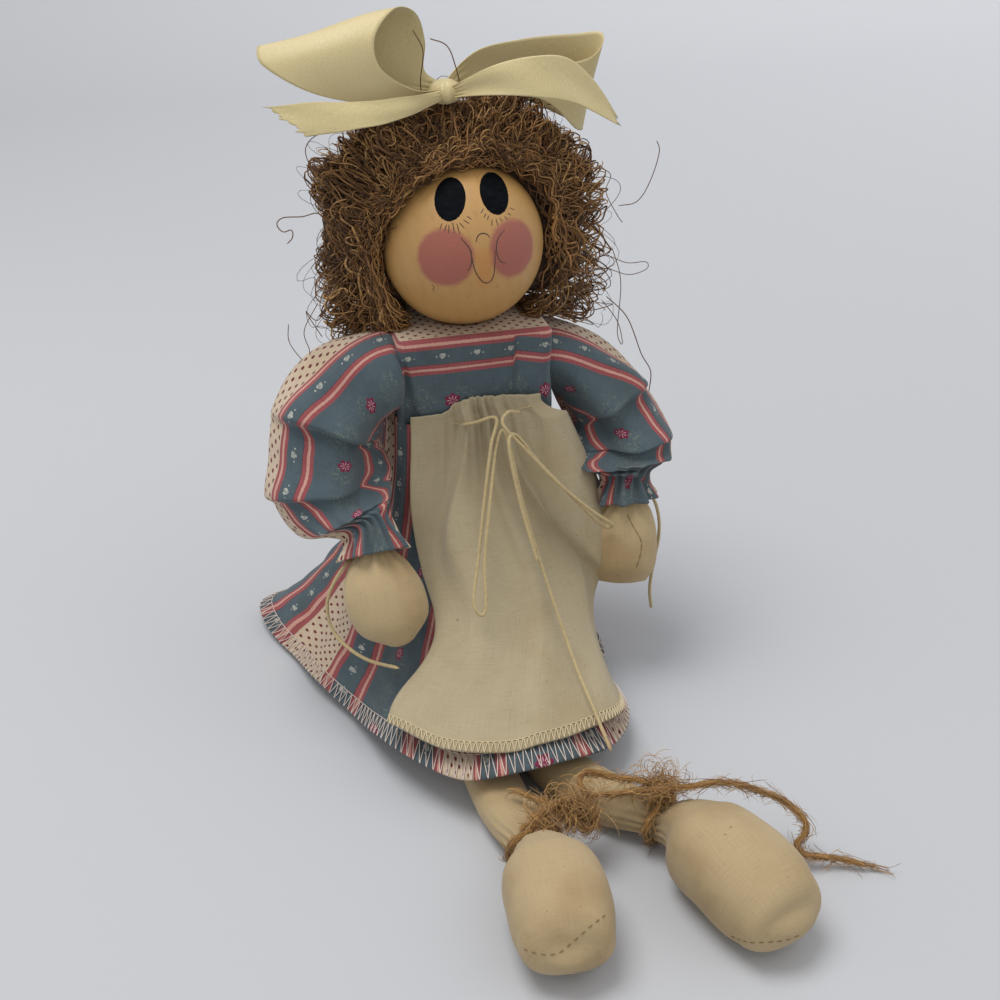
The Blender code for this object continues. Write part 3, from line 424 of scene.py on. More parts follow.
# Hearts, every 12.2 mm: (x2 + y2 - 1)3 - x2 y3 is below nought inside one.
hx = g.math("WRAP", down, 6.1, -6.1)
hy = g.minus(HEART_ROW, across)
x2, y2 = g.times(hx, hx), g.times(hy, hy)
ball = g.minus(g.plus(x2, y2), 1.0)
ball = g.times(g.times(ball, ball), ball)
heart = g.math("LESS_THAN", ball, g.times(x2, g.times(y2, hy)))
specks = g.math("LESS_THAN", g.hypot(g.minus(g.math("ABSOLUTE", hx), 2.1), hy), 0.32)
hearts = g.times(g.math("MAXIMUM", heart, specks), g.math("COMPARE", across, HEART_ROW, 2.9))
patchy = g.spread(g.noise(at["Cloth"], 1.1, 2), 0.35, 0.6, 0.35, 0.9)
colour = g.mix(g.times(hearts, patchy), colour, linear(186, 186, 176))
# Sprigs and a flower on the wide band, every 34 mm.
fx = g.minus(REPEAT / 2, across)
fy = g.math("WRAP", g.plus(down, 9.0), 17.0, -17.0)
far = g.hypot(fx, fy)
angle = g.math("ARCTAN2", fy, fx)
petals = g.math("MULTIPLY_ADD", g.math("COSINE", g.times(angle, 6.0)), 0.4, 2.7)
curve = g.times(g.math("SINE", g.times(fy, 0.42)), 3.2)
stem = g.math("ABSOLUTE", g.minus(fx, curve))
leaf = g.noise(g.scaled(at["Cloth"], 1.9, 0.8), 1.0, 3, 0.65)
sprig = g.times(g.math("GREATER_THAN", leaf, 0.56), g.spread(stem, 4.2, 1.6))
sprig = g.times(sprig, g.math("GREATER_THAN", across, WIDE_BAND + 0.8))
colour = g.mix(g.times(sprig, 0.5), colour, linear(130, 138, 116))
colour = g.mix(g.math("LESS_THAN", far, petals), colour, linear(124, 40, 68))
rays = g.math("GREATER_THAN", g.math("COSINE", g.times(angle, 8.0)), 0.55)
rays = g.times(rays, g.math("LESS_THAN", far, 1.9))
rays = g.times(rays, g.math("GREATER_THAN", far, 0.4))
g.put(out["Colour"], g.mix(rays, colour, linear(200, 160, 168)))
print("calico repeats every", REPEAT, "mm")

# %% [markdown]
# ## Soiling
# An old doll picks up a little dust and brown specks, more in some places than in others. This
# group is shared by every cloth, and each gives it its own strength.
# %% Soiling group
soiling, g, at, out = effect("soiling", [("Place", "Vector", None), ("Cloud", "Float", 0.5),
                                         ("Speck", "Float", 0.3)], [("Cloud", "Float"), ("Speck", "Float")])
cloud = g.spread(g.noise(at["Place"], 38.0, 3), 0.42, 0.72)
g.put(out["Cloud"], g.times(cloud, at["Cloud"]))
speck = g.math("GREATER_THAN", g.noise(at["Place"], 480.0, 1), 0.785)
g.put(out["Speck"], g.times(speck, at["Speck"]))

# %% Cloth materials
def cloth_material(name, colour, thread, slub, contrast, bump, cloud, speck):
    """A woven cloth: colour is a plain colour, or a function of the helper and the cloth's map. It
    has painted shade between the threads and a painted highlight on them, and is soiled by cloud and speck."""
    material, g = finish(name, 0.9, Sheen_Weight=0.15, Sheen_Roughness=0.5, Specular_IOR_Level=0.25)
    place = g.node("UVMap", uv_map="cloth").outputs[0]
    base = colour(g, place) if callable(colour) else g.mix(0.0, colour, colour)
    woven = g.group(weave, {"Cloth": place, "Thread": thread, "Slub": slub})
    worn = g.group(soiling, {"Place": g.space(), "Cloud": cloud, "Speck": speck})
    # Painted shade between the threads and a painted highlight on their tops, taken from the weave's tone.
    dark = g.mix(1.0, base, linear(150, 140, 128), "MULTIPLY")
    light = g.mix(1.0, base, linear(70, 64, 54), "ADD")
    shade = g.mix(g.times(g.spread(woven["Tone"], 0.55, 0.1), contrast), base, dark)
    shade = g.mix(g.times(g.spread(woven["Tone"], 0.5, 0.95), contrast * 0.5), shade, light)
    shade = g.mix(worn["Cloud"], shade, g.mix(1.0, shade, linear(205, 186, 158), "MULTIPLY"))
    g.colour(g.mix(worn["Speck"], shade, linear(120, 88, 52)))
    g.bump(woven["Height"], bump, 0.0002)
    return material


def printed(g, place):
    return g.group(calico_print, {"Cloth": place})["Colour"]


def faded(g, place):
    """The print's wrong side, where the ink shows through weakly."""
    return g.mix(0.55, printed(g, place), linear(165, 162, 158))


calico = cloth_material("calico", printed, 0.42, 0.35, 0.5, 0.35, 0.25, 0.0)
calico_back = cloth_material("calico wrong side", faded, 0.42, 0.35, 0.5, 0.35, 0.25, 0.0)
apron_muslin = cloth_material("beige muslin", linear(176, 162, 132), 0.5, 0.35, 0.42, 0.45, 0.3, 0.5)
limb_muslin = cloth_material("tea dyed muslin", linear(182, 160, 122), 0.5, 0.3, 0.4, 0.4, 0.45, 0.8)
print("cloths:", [m.name for m in (calico, calico_back, apron_muslin, limb_muslin)])

# %% [markdown]
# ## Wood
# The head is a turned craft ball in pale, oiled wood. Its grain runs round the ball as faint
# bands and short darker flecks. The cheeks are dry-brushed rose paint and the mouth has an ochre
# wash, so both are part of the wood's colour: the distance from each spot's middle gives the mask,
# and streaks break the cheeks' edge.
# %% Wood grain group
grain, g, at, out = effect("wood grain", [("Place", "Vector", None), ("Bands", "Float", 1.0)],
                           [("Tone", "Float"), ("Height", "Float")])
rings = g.node("TexWave", {"Vector": g.scaled(at["Place"], 60, 60, 14), "Scale": 1.1, "Distortion": 3.2,
                           "Detail": 3.0, "Detail Scale": 1.2},
               wave_type="BANDS", bands_direction="X").outputs[1]
fine = g.noise(g.scaled(at["Place"], 900, 900, 60), 1.0, 3)
fleck = g.spread(g.noise(g.scaled(at["Place"], 420, 420, 90), 1.0, 1), 0.62, 0.72)
tone = g.plus(g.times(g.times(rings, at["Bands"]), 0.4), g.times(fine, 0.5))
g.put(out["Tone"], g.plus(tone, g.times(fleck, 0.18)))
g.put(out["Height"], g.math("MULTIPLY_ADD", fleck, -0.4, fine))

# %% Wood materials
BALL_RADIUS = 28.5 * MM
HEAD = np.array([0.0, 0.0, 162.927 * MM])
CHEEKS = ((-11.6, -25.7, 4.0), (12.3, -25.2, 5.0))
MOUTH = ((1.0, -28.2, 4.4), (1.0, -28.5, 0.4), (1.4, -28.2, -3.6))


def spots_on_ball(directions):
    return [HEAD + BALL_RADIUS * unit(np.array(way)) for way in directions]


def wood_material(name, light, dark, roughness, bands, face=False):
    material, g = finish(name, roughness, Coat_Weight=0.12, Coat_Roughness=0.35)
    space = g.space()
    place = g.node("Mapping", {"Vector": space, "Rotation": (0.35, 0.2, 0.1)}).outputs[0]
    wood = g.group(grain, {"Place": place, "Bands": bands})
    colour = g.mix(g.spread(wood["Tone"], 0.25, 0.85), light, dark)
    blotch = g.spread(g.noise(space, 55.0, 3), 0.4, 0.75)
    colour = g.mix(g.times(blotch, 0.4), colour, linear(188, 142, 86))
    if face:
        streaks = g.noise(g.scaled(space, 260, 260, 1600), 1.0, 3)
        rose = g.mix(streaks, linear(138, 62, 60), linear(166, 90, 80))
        for spot in spots_on_ball(CHEEKS):
            far = g.math("MULTIPLY_ADD", streaks, 0.0016, g.distance(space, spot))
            paint = g.times(g.spread(far, 0.0117, 0.0093), 0.9)
            paint = g.times(paint, g.spread(streaks, 0.1, 0.6, 0.8, 1.0))
            colour = g.mix(paint, colour, rose)
        for spot in spots_on_ball(MOUTH):
            wash = g.times(g.spread(g.distance(space, spot), 0.0042, 0.0018), 0.55)
            colour = g.mix(wash, colour, linear(186, 124, 60))
    g.colour(colour)
    g.bump(wood["Height"], 0.12, 0.0001)
    return material


ball_wood = wood_material("oiled birch", linear(182, 140, 82), linear(163, 120, 66), 0.5, 0.35, True)
block_wood = wood_material("sawn pine", linear(205, 165, 112), linear(168, 122, 72), 0.7, 1.6)
for node_name in ("body_block", "neck_dowel"):
    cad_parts[node_name].data.materials.clear()
    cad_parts[node_name].data.materials.append(block_wood)

# %% [markdown]
# ## Head
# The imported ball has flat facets, so a finer ball stands for it. It is a grid of latitudes and
# longitudes with the small flat underneath on which the real ball is glued to the block.
# %% Ball
FLAT_RADIUS = 7.0 * MM
low_angle = -math.acos(FLAT_RADIUS / BALL_RADIUS)
latitude = np.linspace(low_angle, math.pi / 2, 97)[:, None]
longitude = full_turn(160)
ball_grid = np.stack([np.cos(latitude) * np.cos(longitude), np.cos(latitude) * np.sin(longitude),
                      np.sin(latitude) + 0 * longitude], axis=-1) * BALL_RADIUS + HEAD
flat_ring = ball_grid[:1] * (0, 0, 1)
ball_grid = np.vstack([flat_ring, ball_grid])
head = surface("head", ball_grid, plain_cloth(len(ball_grid), 161, 180, 90), ball_wood, closed=True,
               inside=HEAD, poles=True)
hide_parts("head_ball")

# %% [markdown]
# ## Painted face
# The face is brushed on: two big near-black eyes, short lashes, a small arch for a nose, a long
# U for a smile, and a line beside each cheek. Each stroke is a thin raised ribbon of paint on the
# ball. Its points are picture points carried along the line of sight.
# %% Paint
eye_paint, g = finish("eye paint", 0.6, Specular_IOR_Level=0.03)
streaks = g.noise(g.scaled(g.space(), 300, 300, 1400), 1.0, 3)
g.colour(g.mix(g.spread(streaks, 0.3, 0.75), linear(9, 11, 14), linear(18, 21, 25)))
line_paint = mottled("line paint", 0.5, 700.0, 2.0, (58, 40, 30), (96, 66, 44))


def on_ball(points, lift=0.0):
    """Where lines of sight meet the ball, grown by lift metres."""
    way = sight(points)
    lift = np.broadcast_to(np.asarray(lift, float), (len(way),))
    gap = HEAD - CAMERA_AT
    near = way @ gap
    off = np.clip((BALL_RADIUS + lift) ** 2 - (gap @ gap - near ** 2), 0, None)
    return CAMERA_AT + way * (near - np.sqrt(off))[:, None]


def blob(name, middle, one, two, lean, material, height=0.09 * MM):
    """An oval of paint in picture points, domed, with its rim sunk: each point is the middle plus
    rho (cos t one + sin t two), leaned by some degrees."""
    rho = np.linspace(0, 1, 14)[:, None]
    turn = full_turn(64)
    c, s = math.cos(math.radians(lean)), math.sin(math.radians(lean))
    wide, tall = one * rho * np.cos(turn), two * rho * np.sin(turn)
    points = np.stack([middle[0] + c * wide - s * tall, middle[1] + s * wide + c * tall], -1)
    lift = height * (1 - rho ** 4) - 0.03 * MM + 0 * turn
    grid = on_ball(points.reshape(-1, 2), lift.ravel()).reshape(*points.shape[:2], 3)
    return surface(name, grid, plain_cloth(14, 65, 10, 10), material, closed=True, inside=HEAD, poles=True)


def stroke(name, points, width, material, height=0.07 * MM, taper=0.35):
    """A brush stroke through picture points: width in mm, thinner at both ends, domed across."""
    centre = on_ball(evenly(through(points, 40), 26))
    ahead = unit(np.gradient(centre, axis=0))
    out = unit(centre - HEAD)
    side = np.cross(out, ahead)
    share = np.linspace(-1, 1, 7)
    end = np.linspace(0, 1, 26)
    wide = width * MM / 2 * (taper + (1 - taper) * np.sin(math.pi * end) ** 0.6)
    grid = centre[:, None] + side[:, None] * (wide[:, None] * share)[..., None]
    lift = height * (1 - share ** 2) - 0.02 * MM
    grid = HEAD + unit(grid - HEAD) * (BALL_RADIUS + lift)[None, :, None]
    return surface(name, grid, plain_cloth(26, 7, width, 10), material, inside=HEAD)


blob("right_eye", (450, 199), 17.3, 24.5, 4, eye_paint)
blob("left_eye", (494, 193), 15.2, 24.5, -15, eye_paint)
LASHES = [((442, 223.5), (439.8, 229.5)), ((446.5, 224.5), (444.5, 231)), ((449, 224.7), (448.6, 233)),
          ((452.5, 222.5), (454.6, 233.3)), ((456.8, 223.6), (459.8, 234)), ((459.5, 222.8), (464.4, 228.2)),
          ((463.6, 220), (469.4, 223.6)), ((467, 216.2), (471.6, 219.4)),
          ((483.7, 208.5), (480.8, 213.3)), ((486, 213.4), (483.9, 217.6)), ((488.8, 215.5), (487.2, 220)),
          ((492.2, 219.5), (491.8, 226)), ((496, 218.8), (497.8, 225.5)), ((499.4, 217.6), (502.5, 221.6)),
          ((504.4, 216.2), (507.7, 220)), ((507.6, 213), (511, 215.2)), ((509.7, 207.7), (514.6, 210))]
for k, ends in enumerate(LASHES):
    stroke("lash_%d" % k, [ends[0], np.mean(ends, axis=0), ends[1]], 0.42, line_paint, taper=0.6)
# The face lines were read in a close-up: its scale, and the picture point of its corner.
CLOSE_UP, CORNER = 8.25, (380, 140)
FACE_LINES = {
    "nose": [(793, 842), (803, 800), (825, 776), (857, 770), (888, 782), (905, 808)],
    "right_cheek_line": [(665, 805), (735, 890), (755, 960), (750, 1030), (725, 1082)],
    "left_cheek_line": [(1030, 738), (975, 810), (960, 900), (975, 970), (1000, 1005), (1040, 1015)],
    "smile": [(750, 905), (757, 960), (770, 1030), (790, 1090), (820, 1140), (848, 1170), (872, 1182),
              (902, 1172), (925, 1150), (940, 1105), (945, 1060), (950, 980), (948, 905)]}
for name, points in FACE_LINES.items():
    stroke(name, np.array(points, float) / CLOSE_UP + CORNER, 0.5, line_paint, height=0.1 * MM, taper=0.55)
stroke("age_crack", [(431.5, 284.2), (434, 287), (433, 289.5), (435.2, 292)], 0.3, line_paint, taper=0.4)
print("paint strokes:", len(LASHES) + len(FACE_LINES) + 1)

# %% [markdown]
# ## Skirt
# The skirt is a straight length of calico gathered to the waist. It falls steeply round the
# block and then lies out over the shelf and the legs, so the shape runs from a box outline at
# the waist to an irregular outline at the hem along part of a circle's quarter. Gathers run down
# from the waist and open into broad folds.
# %% Skirt shape
BLOCK = np.array([50.0, 38.0, 135.0]) * MM
GAP = 0.3 * MM
WAIST = BLOCK[2] - 29 * MM
BODICE_LENGTH = 29 * MM
SKIRT_HALF = BLOCK[:2] / 2 + 2.6 * MM
SKIRT_SPREAD = math.radians(68)
HEM = [(-12, 44, 1.5), (-48, 46, 1.5), (-74, 36, 1.5), (-77, 16, 2), (-69, -10, 3.5), (-58, -42, 5.5),
       (-48.5, -70, 9), (-38, -94, 14), (-25, -109.5, 18), (-5, -113.5, 19), (18, -108, 18.5),
       (31.5, -96, 13), (38, -77, 7.5), (42, -46, 4), (45, -12, 2), (44, 22, 1.5), (22, 42, 1.5)]


def skirt_base(down, around):
    """The skirt without folds. The outline goes from a rounded box to the hem: outwards by
    (1 - cos a) / (1 - cos A) and downwards by sin a / sin A, where a runs from 0 to A. Above the
    waist (down below 0) it goes straight up."""
    fine = 720
    hem = round_through(HEM, fine) * MM
    angle = np.unwrap(np.arctan2(hem[:, 1], hem[:, 0]))
    place = np.linspace(angle[0], angle[0] + math.tau, fine, endpoint=False)
    angle, hem = np.append(angle, angle[0] + math.tau), np.vstack([hem, hem[:1]])
    hem = np.stack([np.interp(place, angle, hem[:, k]) for k in range(3)], axis=1)
    corner = np.abs(np.cos(place) / SKIRT_HALF[0]) ** 12 + np.abs(np.sin(place) / SKIRT_HALF[1]) ** 12
    reach = corner ** (-1 / 12)
    waist = np.stack([reach * np.cos(place), reach * np.sin(place), np.full(fine, WAIST - GAP)], axis=1)
    pick = np.asarray(around) * fine
    low, top = (np.stack([np.interp(pick, np.arange(fine + 1), np.append(ring[:, k], ring[0, k]))
                          for k in range(3)], -1) for ring in (hem, waist))
    swing = SKIRT_SPREAD * np.clip(down, 0, None)[..., None]
    outward = (1 - np.cos(swing)) / (1 - math.cos(SKIRT_SPREAD))
    fall = np.sin(swing) / math.sin(SKIRT_SPREAD)
    flat = np.array([1.0, 1.0, 0.0])
    grid = (top + (low - top) * outward) * flat + (top + (low - top) * fall) * (1 - flat)
    return grid + np.clip(-down, 0, None)[..., None] * BODICE_LENGTH * np.array([0, 0, 1.0])


# Where the print's bands meet the hem: share of a turn, and place across the cloth in mm.
PRINT_ROUND = [(0.16, -22), (0.19, -12), (0.249, 0), (0.285, 12), (0.325, 22), (0.39, 49), (0.406, 59),
               (0.4165, 71), (0.424, 83), (0.436, 93), (0.4557, 106.5), (0.478, 120), (0.498, 130),
               (0.52, 142), (1.16, 475)]


def skirt_grid(rows, columns):
    """The skirt's outer face with its folds, as a grid that closes round, and its normals."""
    around = (np.arange(columns) / columns)[None, :]
    down = np.linspace(0, 1, rows)[:, None]
    base = skirt_base(down + 0 * around, around + 0 * down)
    out = -grid_normals(base, closed=True)
    turn = math.tau * around
    broad = 0.5 + 0.5 * np.cos(11 * turn + 1.3 * np.sin(2 * turn) + 0.6 * down)
    small = 0.5 + 0.5 * np.cos(60 * turn + 2.5 * np.sin(5 * turn) + 1.5 * np.sin(4 * down))
    lift = 4.2 * MM * smooth_step(0.1, 0.75, down) * broad
    lift = lift + 1.0 * MM * (1 - smooth_step(0.05, 0.55, down)) * small
    ripple = waves(60 * around * 4, 40 * down, 9, 0.5, 1.6, 11)
    lift = lift + 0.35 * MM * ripple * smooth_step(0.1, 0.5, down)
    return base + out * lift[..., None], out


SKIRT_ROWS, SKIRT_COLUMNS = 76, 420
SKIRT_LONG = 128.0
skirt_points, skirt_out = skirt_grid(SKIRT_ROWS, SKIRT_COLUMNS)
share = np.arange(SKIRT_COLUMNS + 1) / SKIRT_COLUMNS
places = np.array(PRINT_ROUND)
before_start = share < places[0, 0]
print_u = np.interp(share + before_start, places[:, 0], places[:, 1]) - 7 * REPEAT * before_start
print_v = np.linspace(0, SKIRT_LONG, SKIRT_ROWS)[:, None]
skirt_cloth = np.stack(np.broadcast_arrays(print_u[None, :], print_v), -1)
skirt = surface("skirt", skirt_points, skirt_cloth, [calico, calico_back], closed=True, wall=0.55 * MM,
                inside=(0, 0, 0.06))
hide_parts("dress_skirt")
hem_line = np.vstack([skirt_points[-1], skirt_points[-1, :1]])
print("hem is", round(float(run_length(hem_line)[-1] / MM)), "mm round")

# %% [markdown]
# ## Bodice and sleeves
# The dress's top is T-cut: the print's bands lie level across the chest and run out along both
# sleeves. The bodice is a box with soft edges that follows the block, tucked under at its left
# seam and let in at the right armhole. Each sleeve is a puffed tube whose rings turn like a fan
# from the shoulder to the wrist, where a string gathers it and the end stands out as a ruffle.
# %% Bodice
BODICE_TOP = BLOCK[2] + 1.4 * MM
BODICE_HALF = BLOCK[:2] / 2 + 2.7 * MM
EDGE_ROUND = 2.2 * MM
SEAM_CORNER = 3 * MM


def box_ring(half, corner, columns):
    """A rounded box outline walked evenly: straight sides joined by quarter circles."""
    pieces = []
    for quarter, sign in enumerate(((1, 1), (-1, 1), (-1, -1), (1, -1))):
        turn = np.radians(90 * quarter + np.linspace(0, 90, 12))
        pieces.append((half - corner) * sign + corner * np.stack([np.cos(turn), np.sin(turn)], 1))
    ring = np.vstack(pieces + [pieces[0][:1]])
    return evenly(ring, columns + 1)[:-1]


columns = 240
neck = math.sqrt(BALL_RADIUS ** 2 - (HEAD[2] - BODICE_TOP) ** 2) + 0.5 * MM
rings = []
for z in np.linspace(WAIST - 1.5 * MM, BODICE_TOP - EDGE_ROUND, 34):
    rings.append(np.column_stack([box_ring(BODICE_HALF, SEAM_CORNER, columns), np.full(columns, z)]))
for bend in np.linspace(0, 1, 6)[1:] * math.pi / 2:
    inset = EDGE_ROUND * (1 - math.cos(bend))
    z = BODICE_TOP - EDGE_ROUND * (1 - math.sin(bend))
    ring = box_ring(BODICE_HALF - inset, SEAM_CORNER - 0.8 * inset, columns)
    rings.append(np.column_stack([ring, np.full(columns, z)]))
rim = rings[-1][:, :2]
angle = np.arctan2(rim[:, 1], rim[:, 0])
hole = np.stack([np.cos(angle), np.sin(angle)], 1) * neck
for step in np.linspace(0, 1, 12)[1:]:
    rings.append(np.column_stack([rim + (hole - rim) * step, np.full(columns, BODICE_TOP)]))
bodice_points = np.array(rings)

# %% Bodice seams and print
x, y, z = np.moveaxis(bodice_points, -1, 0)
front = y < -BODICE_HALF[1] + 0.3 * MM
tuck = front * smooth_step(13.2 * MM, 13.9 * MM, x) * (x < 23 * MM)
armhole_edge = -20.8 * MM - 0.22 * (z - 110 * MM)
armhole = front * smooth_step(armhole_edge, armhole_edge - 1.2 * MM, x)
on_top = z > BODICE_TOP - 0.3 * MM
on_wall = (z < BODICE_TOP - EDGE_ROUND) * (BODICE_HALF[1] - np.abs(y))
bodice_u = 12 + (135 - z / MM) * 1.075
bodice_u = bodice_u - np.clip(BODICE_HALF[1] - EDGE_ROUND - np.abs(y), 0, None) / MM * on_top
bodice_u = bodice_u + tuck * (2.8 - 0.22 * (x / MM - 13.5))
bodice_v = (x + np.sign(x) * on_wall) / MM
bodice_cloth = np.stack([np.column_stack([v, v[:, :1]]) for v in (bodice_u, bodice_v)], -1)
around = np.linspace(0, 1, columns, endpoint=False)[None, :]
tall = np.linspace(0, 1, len(rings))[:, None]
crumple = 0.35 * MM * waves(around * 50, tall * 9, 8, 0.6, 1.8, 5) * smooth_step(0.7, 0.45, tall)
gathered = 0.4 * MM * np.cos(math.tau * around * 46) * smooth_step(0.22, 0.0, tall)
bodice_out = unit(bodice_points * (1, 1, 0))
bodice_points = bodice_points + bodice_out * (crumple + gathered)[..., None]
bodice_points[..., 1] -= (1.1 * tuck - 2.3 * armhole) * MM
bodice = surface("bodice", bodice_points, bodice_cloth, [calico, calico_back], closed=True, wall=0.5 * MM,
                 inside=(0, 0, 0.12))
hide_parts("dress_bodice")

# %% Sleeves
# Each row: out from the block's side, forward, down from the block's top (mm), lean of the ring
# (0 faces sideways, 90 faces down), half height, half depth, and its tip forwards.
RIGHT_SLEEVE = [(-5, 0, 13, 0, 11.0, 15, 0), (7, 1, 14.5, 10, 12, 17, 0), (18.5, 4, 20.5, 38, 17, 18.5, 0),
                (26.5, 9, 31, 62, 20.5, 19, 0), (28.5, 15, 42, 80, 21.5, 18.5, 0),
                (28.5, 21.5, 51.5, 96, 20, 17, 8), (25, 30.5, 58, 110, 15.5, 14, 25),
                (19.2, 38.2, 59.5, 104, 8.8, 8.6, 45), (18.1, 43, 67, 94, 12.5, 11.5, 35)]
LEFT_SLEEVE = [(-5, 0, 13, 0, 11.0, 15, 0), (8, 1, 16, 15, 11, 17, 0), (19, 3, 24.5, 38, 13.5, 18.5, 0),
               (27.5, 7, 34, 58, 15, 19, 0), (31.5, 13, 42, 74, 16, 18.5, 0), (32.5, 19, 48.5, 86, 16, 16, 5),
               (30.6, 25.5, 53, 90, 13, 12.5, 15), (28.4, 29.6, 57, 90, 8.6, 8.4, 24),
               (27.8, 32.2, 64.5, 90, 12, 11, 16)]


def sleeve(name, table, side, seed, drape, lap=0.0, shift=0.0):
    """A sleeve as rings: centre + height cos t along the leaning direction + depth sin t forwards.
    Waves along it are folds, waves round it near the cuff are gathers. drape lists sharp folds:
    share of the way down, width, height in mm and angle round. lap is how far the shoulder's
    front stands over the bodice, and shift moves the print round."""
    rows, columns = 140, 160
    values = through(table, rows)
    out, forward, down = values[:, 0] * MM, values[:, 1] * MM, values[:, 2] * MM
    share = np.linspace(0, 1, rows)[:, None]
    turn = full_turn(columns) - math.pi
    lean, nod = np.radians(values[:, 3]), np.radians(values[:, 6])
    centre = np.stack([side * (BLOCK[0] / 2 + out), -forward, BLOCK[2] - down], 1)
    up = np.stack([side * np.sin(lean), 0 * lean, np.cos(lean)], 1)
    front = np.stack([0 * nod, -np.cos(nod), np.sin(nod)], 1)
    puff = smooth_step(0.12, 0.4, share) * (1 - smooth_step(0.72, 0.86, share))
    fold = sum(high * np.cos(count * turn + start + 5 * share)
               for count, high, start in ((3, 0.055, 0.4), (5, 0.05, 2.1), (7, 0.035, 4.0)))
    gather = smooth_step(0.55, 0.84, share)
    ruffle = smooth_step(0.885, 1.0, share)
    tuck = 0.9 * MM * gather * (1 - 0.4 * ruffle) * np.cos(17 * turn + 2.2 * np.sin(2 * turn + seed))
    frill = 1.5 * MM * ruffle * np.cos(9 * turn + seed)
    soft = 0.55 * MM * waves(turn * 2.2, share * 11, 9, 0.5, 1.7, seed) * puff
    start = smooth_step(0.1, 0.3, share) * (1 - smooth_step(0.3, 0.5, share))
    pleat = 1.0 * MM * start * np.cos(7 * turn + 4 * share)
    ledge = 0.0
    for middle, width, high, where in drape:
        face = np.clip(np.cos(turn - where), 0, 1) ** 1.2
        place = share + 0.05 * np.sin(turn - where + 0.6)
        rise = smooth_step(middle - width, middle, place) ** 1.5
        ledge = ledge + high * MM * face * rise * (1 - smooth_step(middle, middle + 0.022, place))
    overlap = lap * MM * np.clip(np.cos(turn - 1.4), 0, 1) * smooth_step(0.03, 0.085, share)
    overlap = overlap * (1 - smooth_step(0.12, 0.3, share))
    swell = tuck + frill + soft + pleat + ledge + overlap
    tall = (values[:, 4, None] * MM * (1 + puff * fold) + swell) * np.cos(turn)
    deep = (values[:, 5, None] * MM * (1 + puff * fold) + swell) * np.sin(turn)
    points = centre[:, None] + tall[..., None] * up[:, None] + deep[..., None] * front[:, None]
    girth = np.linalg.norm(np.roll(points, -1, 1) - points, axis=-1) / MM
    run = np.concatenate([np.zeros((rows, 1)), np.cumsum(girth, axis=1)], axis=1)
    middle = run[:, columns // 2, None]
    press = 1 + (run[:, -1:].max() / run[:, -1:] - 1) * smooth_step(0.6, 0.9, share)
    u = 4 - shift * smooth_step(0.05, 0.4, share) + (run - middle) * press
    v = np.broadcast_to(run_length(centre + up * 12 * MM)[:, None] / MM, u.shape)
    return surface(name, points, np.stack([u, v], -1), [calico, calico_back], closed=True, wall=0.5 * MM,
                   inside=centre[rows // 2])


RIGHT_DRAPE = [(0.36, 0.16, 5.5, 1.35), (0.6, 0.12, 3.2, 0.7), (0.77, 0.1, 2.4, 1.5)]
LEFT_DRAPE = [(0.36, 0.16, 4.4, 1.3), (0.56, 0.12, 3.2, 1.6), (0.74, 0.1, 2.4, 1.0),
              (0.72, 0.34, 8.0, 2.9), (0.86, 0.12, 3.0, 2.0)]
right_sleeve = sleeve("right_sleeve", RIGHT_SLEEVE, -1, 3, RIGHT_DRAPE, lap=8.5, shift=4.5)
left_sleeve = sleeve("left_sleeve", LEFT_SLEEVE, 1, 8, LEFT_DRAPE)

# %% [markdown]
# ## Apron
# The apron is one rectangle of beige muslin. A running stitch of string near its top draws it
# into pleats, its sides fall over the skirt, and its lower right corner curls up. Its shape is
# the skirt's own form, lifted by the pleats.
# %% Apron outline
# Each side edge from the waist to the hem: share of a turn round the skirt, and stand-off in mm.
APRON_RIGHT_EDGE = [(0.322, 0.5), (0.322, 1), (0.333, 0.5), (0.352, 0.5), (0.378, 1)]
APRON_LEFT_EDGE = [(0.606, 9), (0.606, 11), (0.582, 10), (0.55, 4), (0.522, 0)]
APRON_HEADING, APRON_END = -8.5 / 29, 0.955
APRON_WIDE, APRON_LONG = 118.0, 112.0
rows, columns = 120, 130
down = np.append(np.linspace(APRON_HEADING, 0, 11)[:-1], np.linspace(0, APRON_END, rows - 10))[:, None]
across = np.linspace(0, 1, columns)[None, :]


def down_edge(table):
    """An edge table read at each row of the apron, as two columns."""
    edge = through(table, 41)
    return [np.interp(down / APRON_END, np.linspace(0, 1, 41), edge[:, k]) for k in range(2)]


def bump_at(middle, width):
    return np.exp(-((down - middle) / width) ** 2)


(start, first_stand), (end, last_stand) = down_edge(APRON_RIGHT_EDGE), down_edge(APRON_LEFT_EDGE)
start = start + 0.056 * bump_at(0.62, 0.23)
end = end - 0.024 * (1 - smooth_step(-0.25, 0.08, down)) + 0.012 * bump_at(0.42, 0.18)
turn_share = start + (end - start) * across
droop = 0.4 + 0.6 * smooth_step(0.18, 0.36, across)
apron_base = skirt_base(np.where(down < 0, down * droop, down + 0 * across), turn_share)
on_skirt = np.clip(down, 0, None) + 0 * across
here = skirt_base(on_skirt, turn_share)
beside, below = skirt_base(on_skirt, turn_share + 0.004), skirt_base(on_skirt + 0.02, turn_share)
apron_out = unit(np.cross(beside - here, below - here))
apron_out = apron_out * np.sign(-apron_out[..., 1:2])

